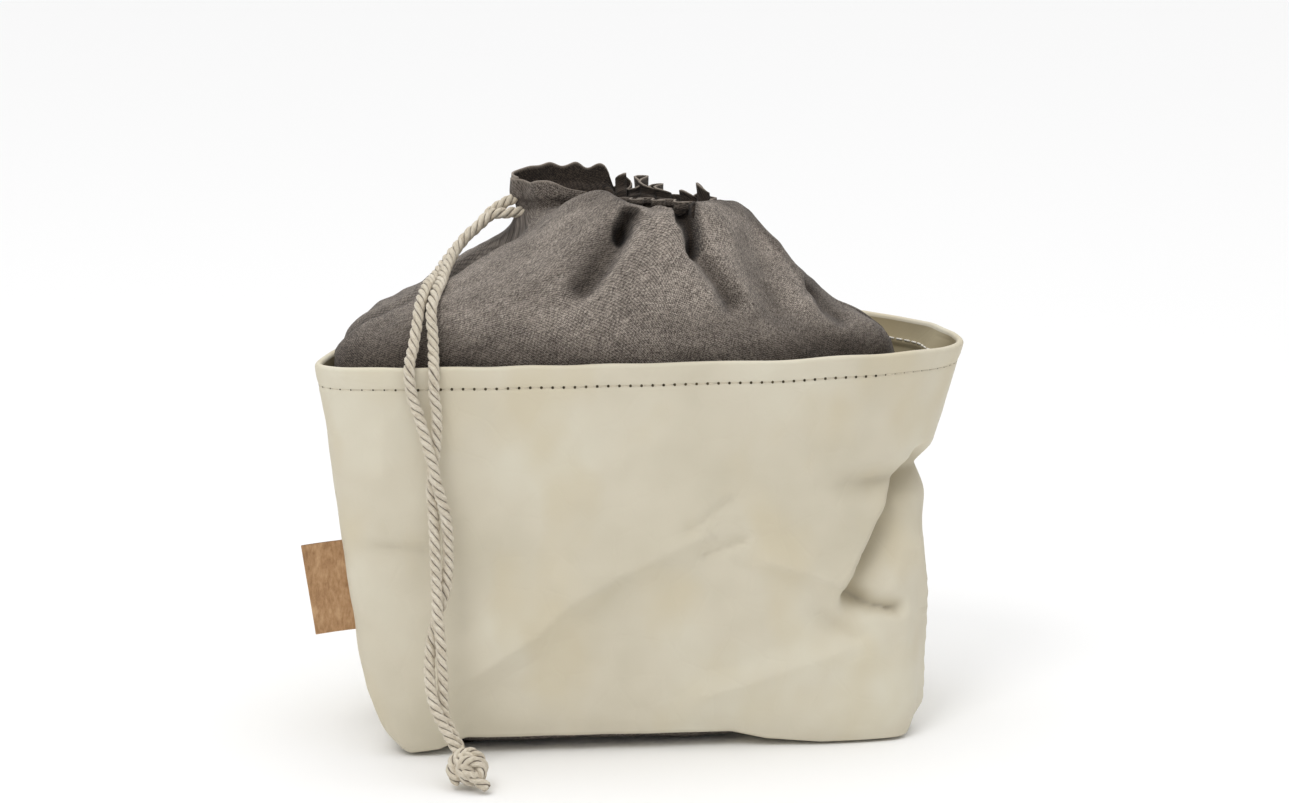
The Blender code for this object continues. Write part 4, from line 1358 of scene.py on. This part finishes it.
def kraft_finish():
    """Brown kraft with fine fibres and soft clouds."""
    finish = Finish("kraft_label", 0.75, "Object")
    fibres = finish.noise(700.0, detail=4.0, roughness=0.7, at=finish.scaled((1.0, 1.0, 0.35)))
    clouds = finish.noise(120.0, detail=2.0)
    tone = finish.math("MULTIPLY_ADD", clouds, 0.4, finish.math("MULTIPLY", fibres, 0.6))
    kraft = finish.ramp(tone, (0.36, (150, 114, 80)), (0.5, (176, 138, 100)), (0.64, (196, 160, 122)))
    finish.colour(kraft)
    return finish.relief(finish.bump(fibres, 0.0001, 0.7))


def make_label():
    """The strip of the label: out along its back leaf, round the fold and back along its front."""
    heights = np.linspace(LABEL_FOOT, LABEL_FOOT + LABEL_HEIGHT, LABEL_ROWS)
    wall, _, _ = paper_surface(row_at(PAPER_SECTIONS, heights), LABEL_COLUMNS)
    half = LABEL_THICKNESS / 2
    fold = np.radians(np.linspace(-90, 90, 9))
    leaf = np.linspace(0, 1, LEAF_STEPS + 1)[:-1]
    out = np.concatenate([leaf, 1 + (np.cos(fold) - 1) * half / LABEL_WIDTH, leaf[::-1]])
    side = np.concatenate([np.full(LEAF_STEPS, -half), np.sin(fold) * half, np.full(LEAF_STEPS, half)])
    rings = []
    for up, (x, y, z) in zip(np.linspace(0, 1, LABEL_ROWS), wall[:, LABEL_COLUMN]):
        bend = 0.8 * math.sin(up * math.pi) * out - 2.0 * out**2
        pinch = 1 - 0.3 * np.cos(up * math.pi) ** 8
        across = x - TOUCH_GAP - LABEL_WIDTH * out
        rings.append(np.stack([across, y + side * pinch + bend, z - 1.6 * out], axis=1))
    points = np.array(rings)
    mesh = bmesh.new()
    add_grid(mesh, points[:, ::-1], cloth_map(points, 0))
    piece = finish_piece("label", mesh, kraft_finish())
    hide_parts("side_label")
    return piece


label = make_label()
print("label:", len(label.data.polygons), "faces")

# %% [markdown]
# ## The floor
# A pale sheet of floor runs far behind the bag, so that no horizon shows.

# %% Floor
FLOOR_HALF = 8.0


def make_floor():
    """A pale flat sheet that belongs to the stage and not to the bag."""
    mesh = bmesh.new()
    bmesh.ops.create_grid(mesh, x_segments=1, y_segments=1, size=FLOOR_HALF)
    data = bpy.data.meshes.new("floor")
    mesh.to_mesh(data)
    mesh.free()
    floor = bpy.data.objects.new("floor", data)
    finish = Finish("floor", 0.8, "Object")
    finish.shader.inputs["Base Color"].default_value = (0.93, 0.93, 0.93, 1.0)
    finish.shader.inputs["Specular IOR Level"].default_value = 0.1
    data.materials.append(finish.material)
    bpy.context.scene.collection.objects.link(floor)
    return floor


floor = make_floor()
print("floor:", 2 * FLOOR_HALF, "m square")
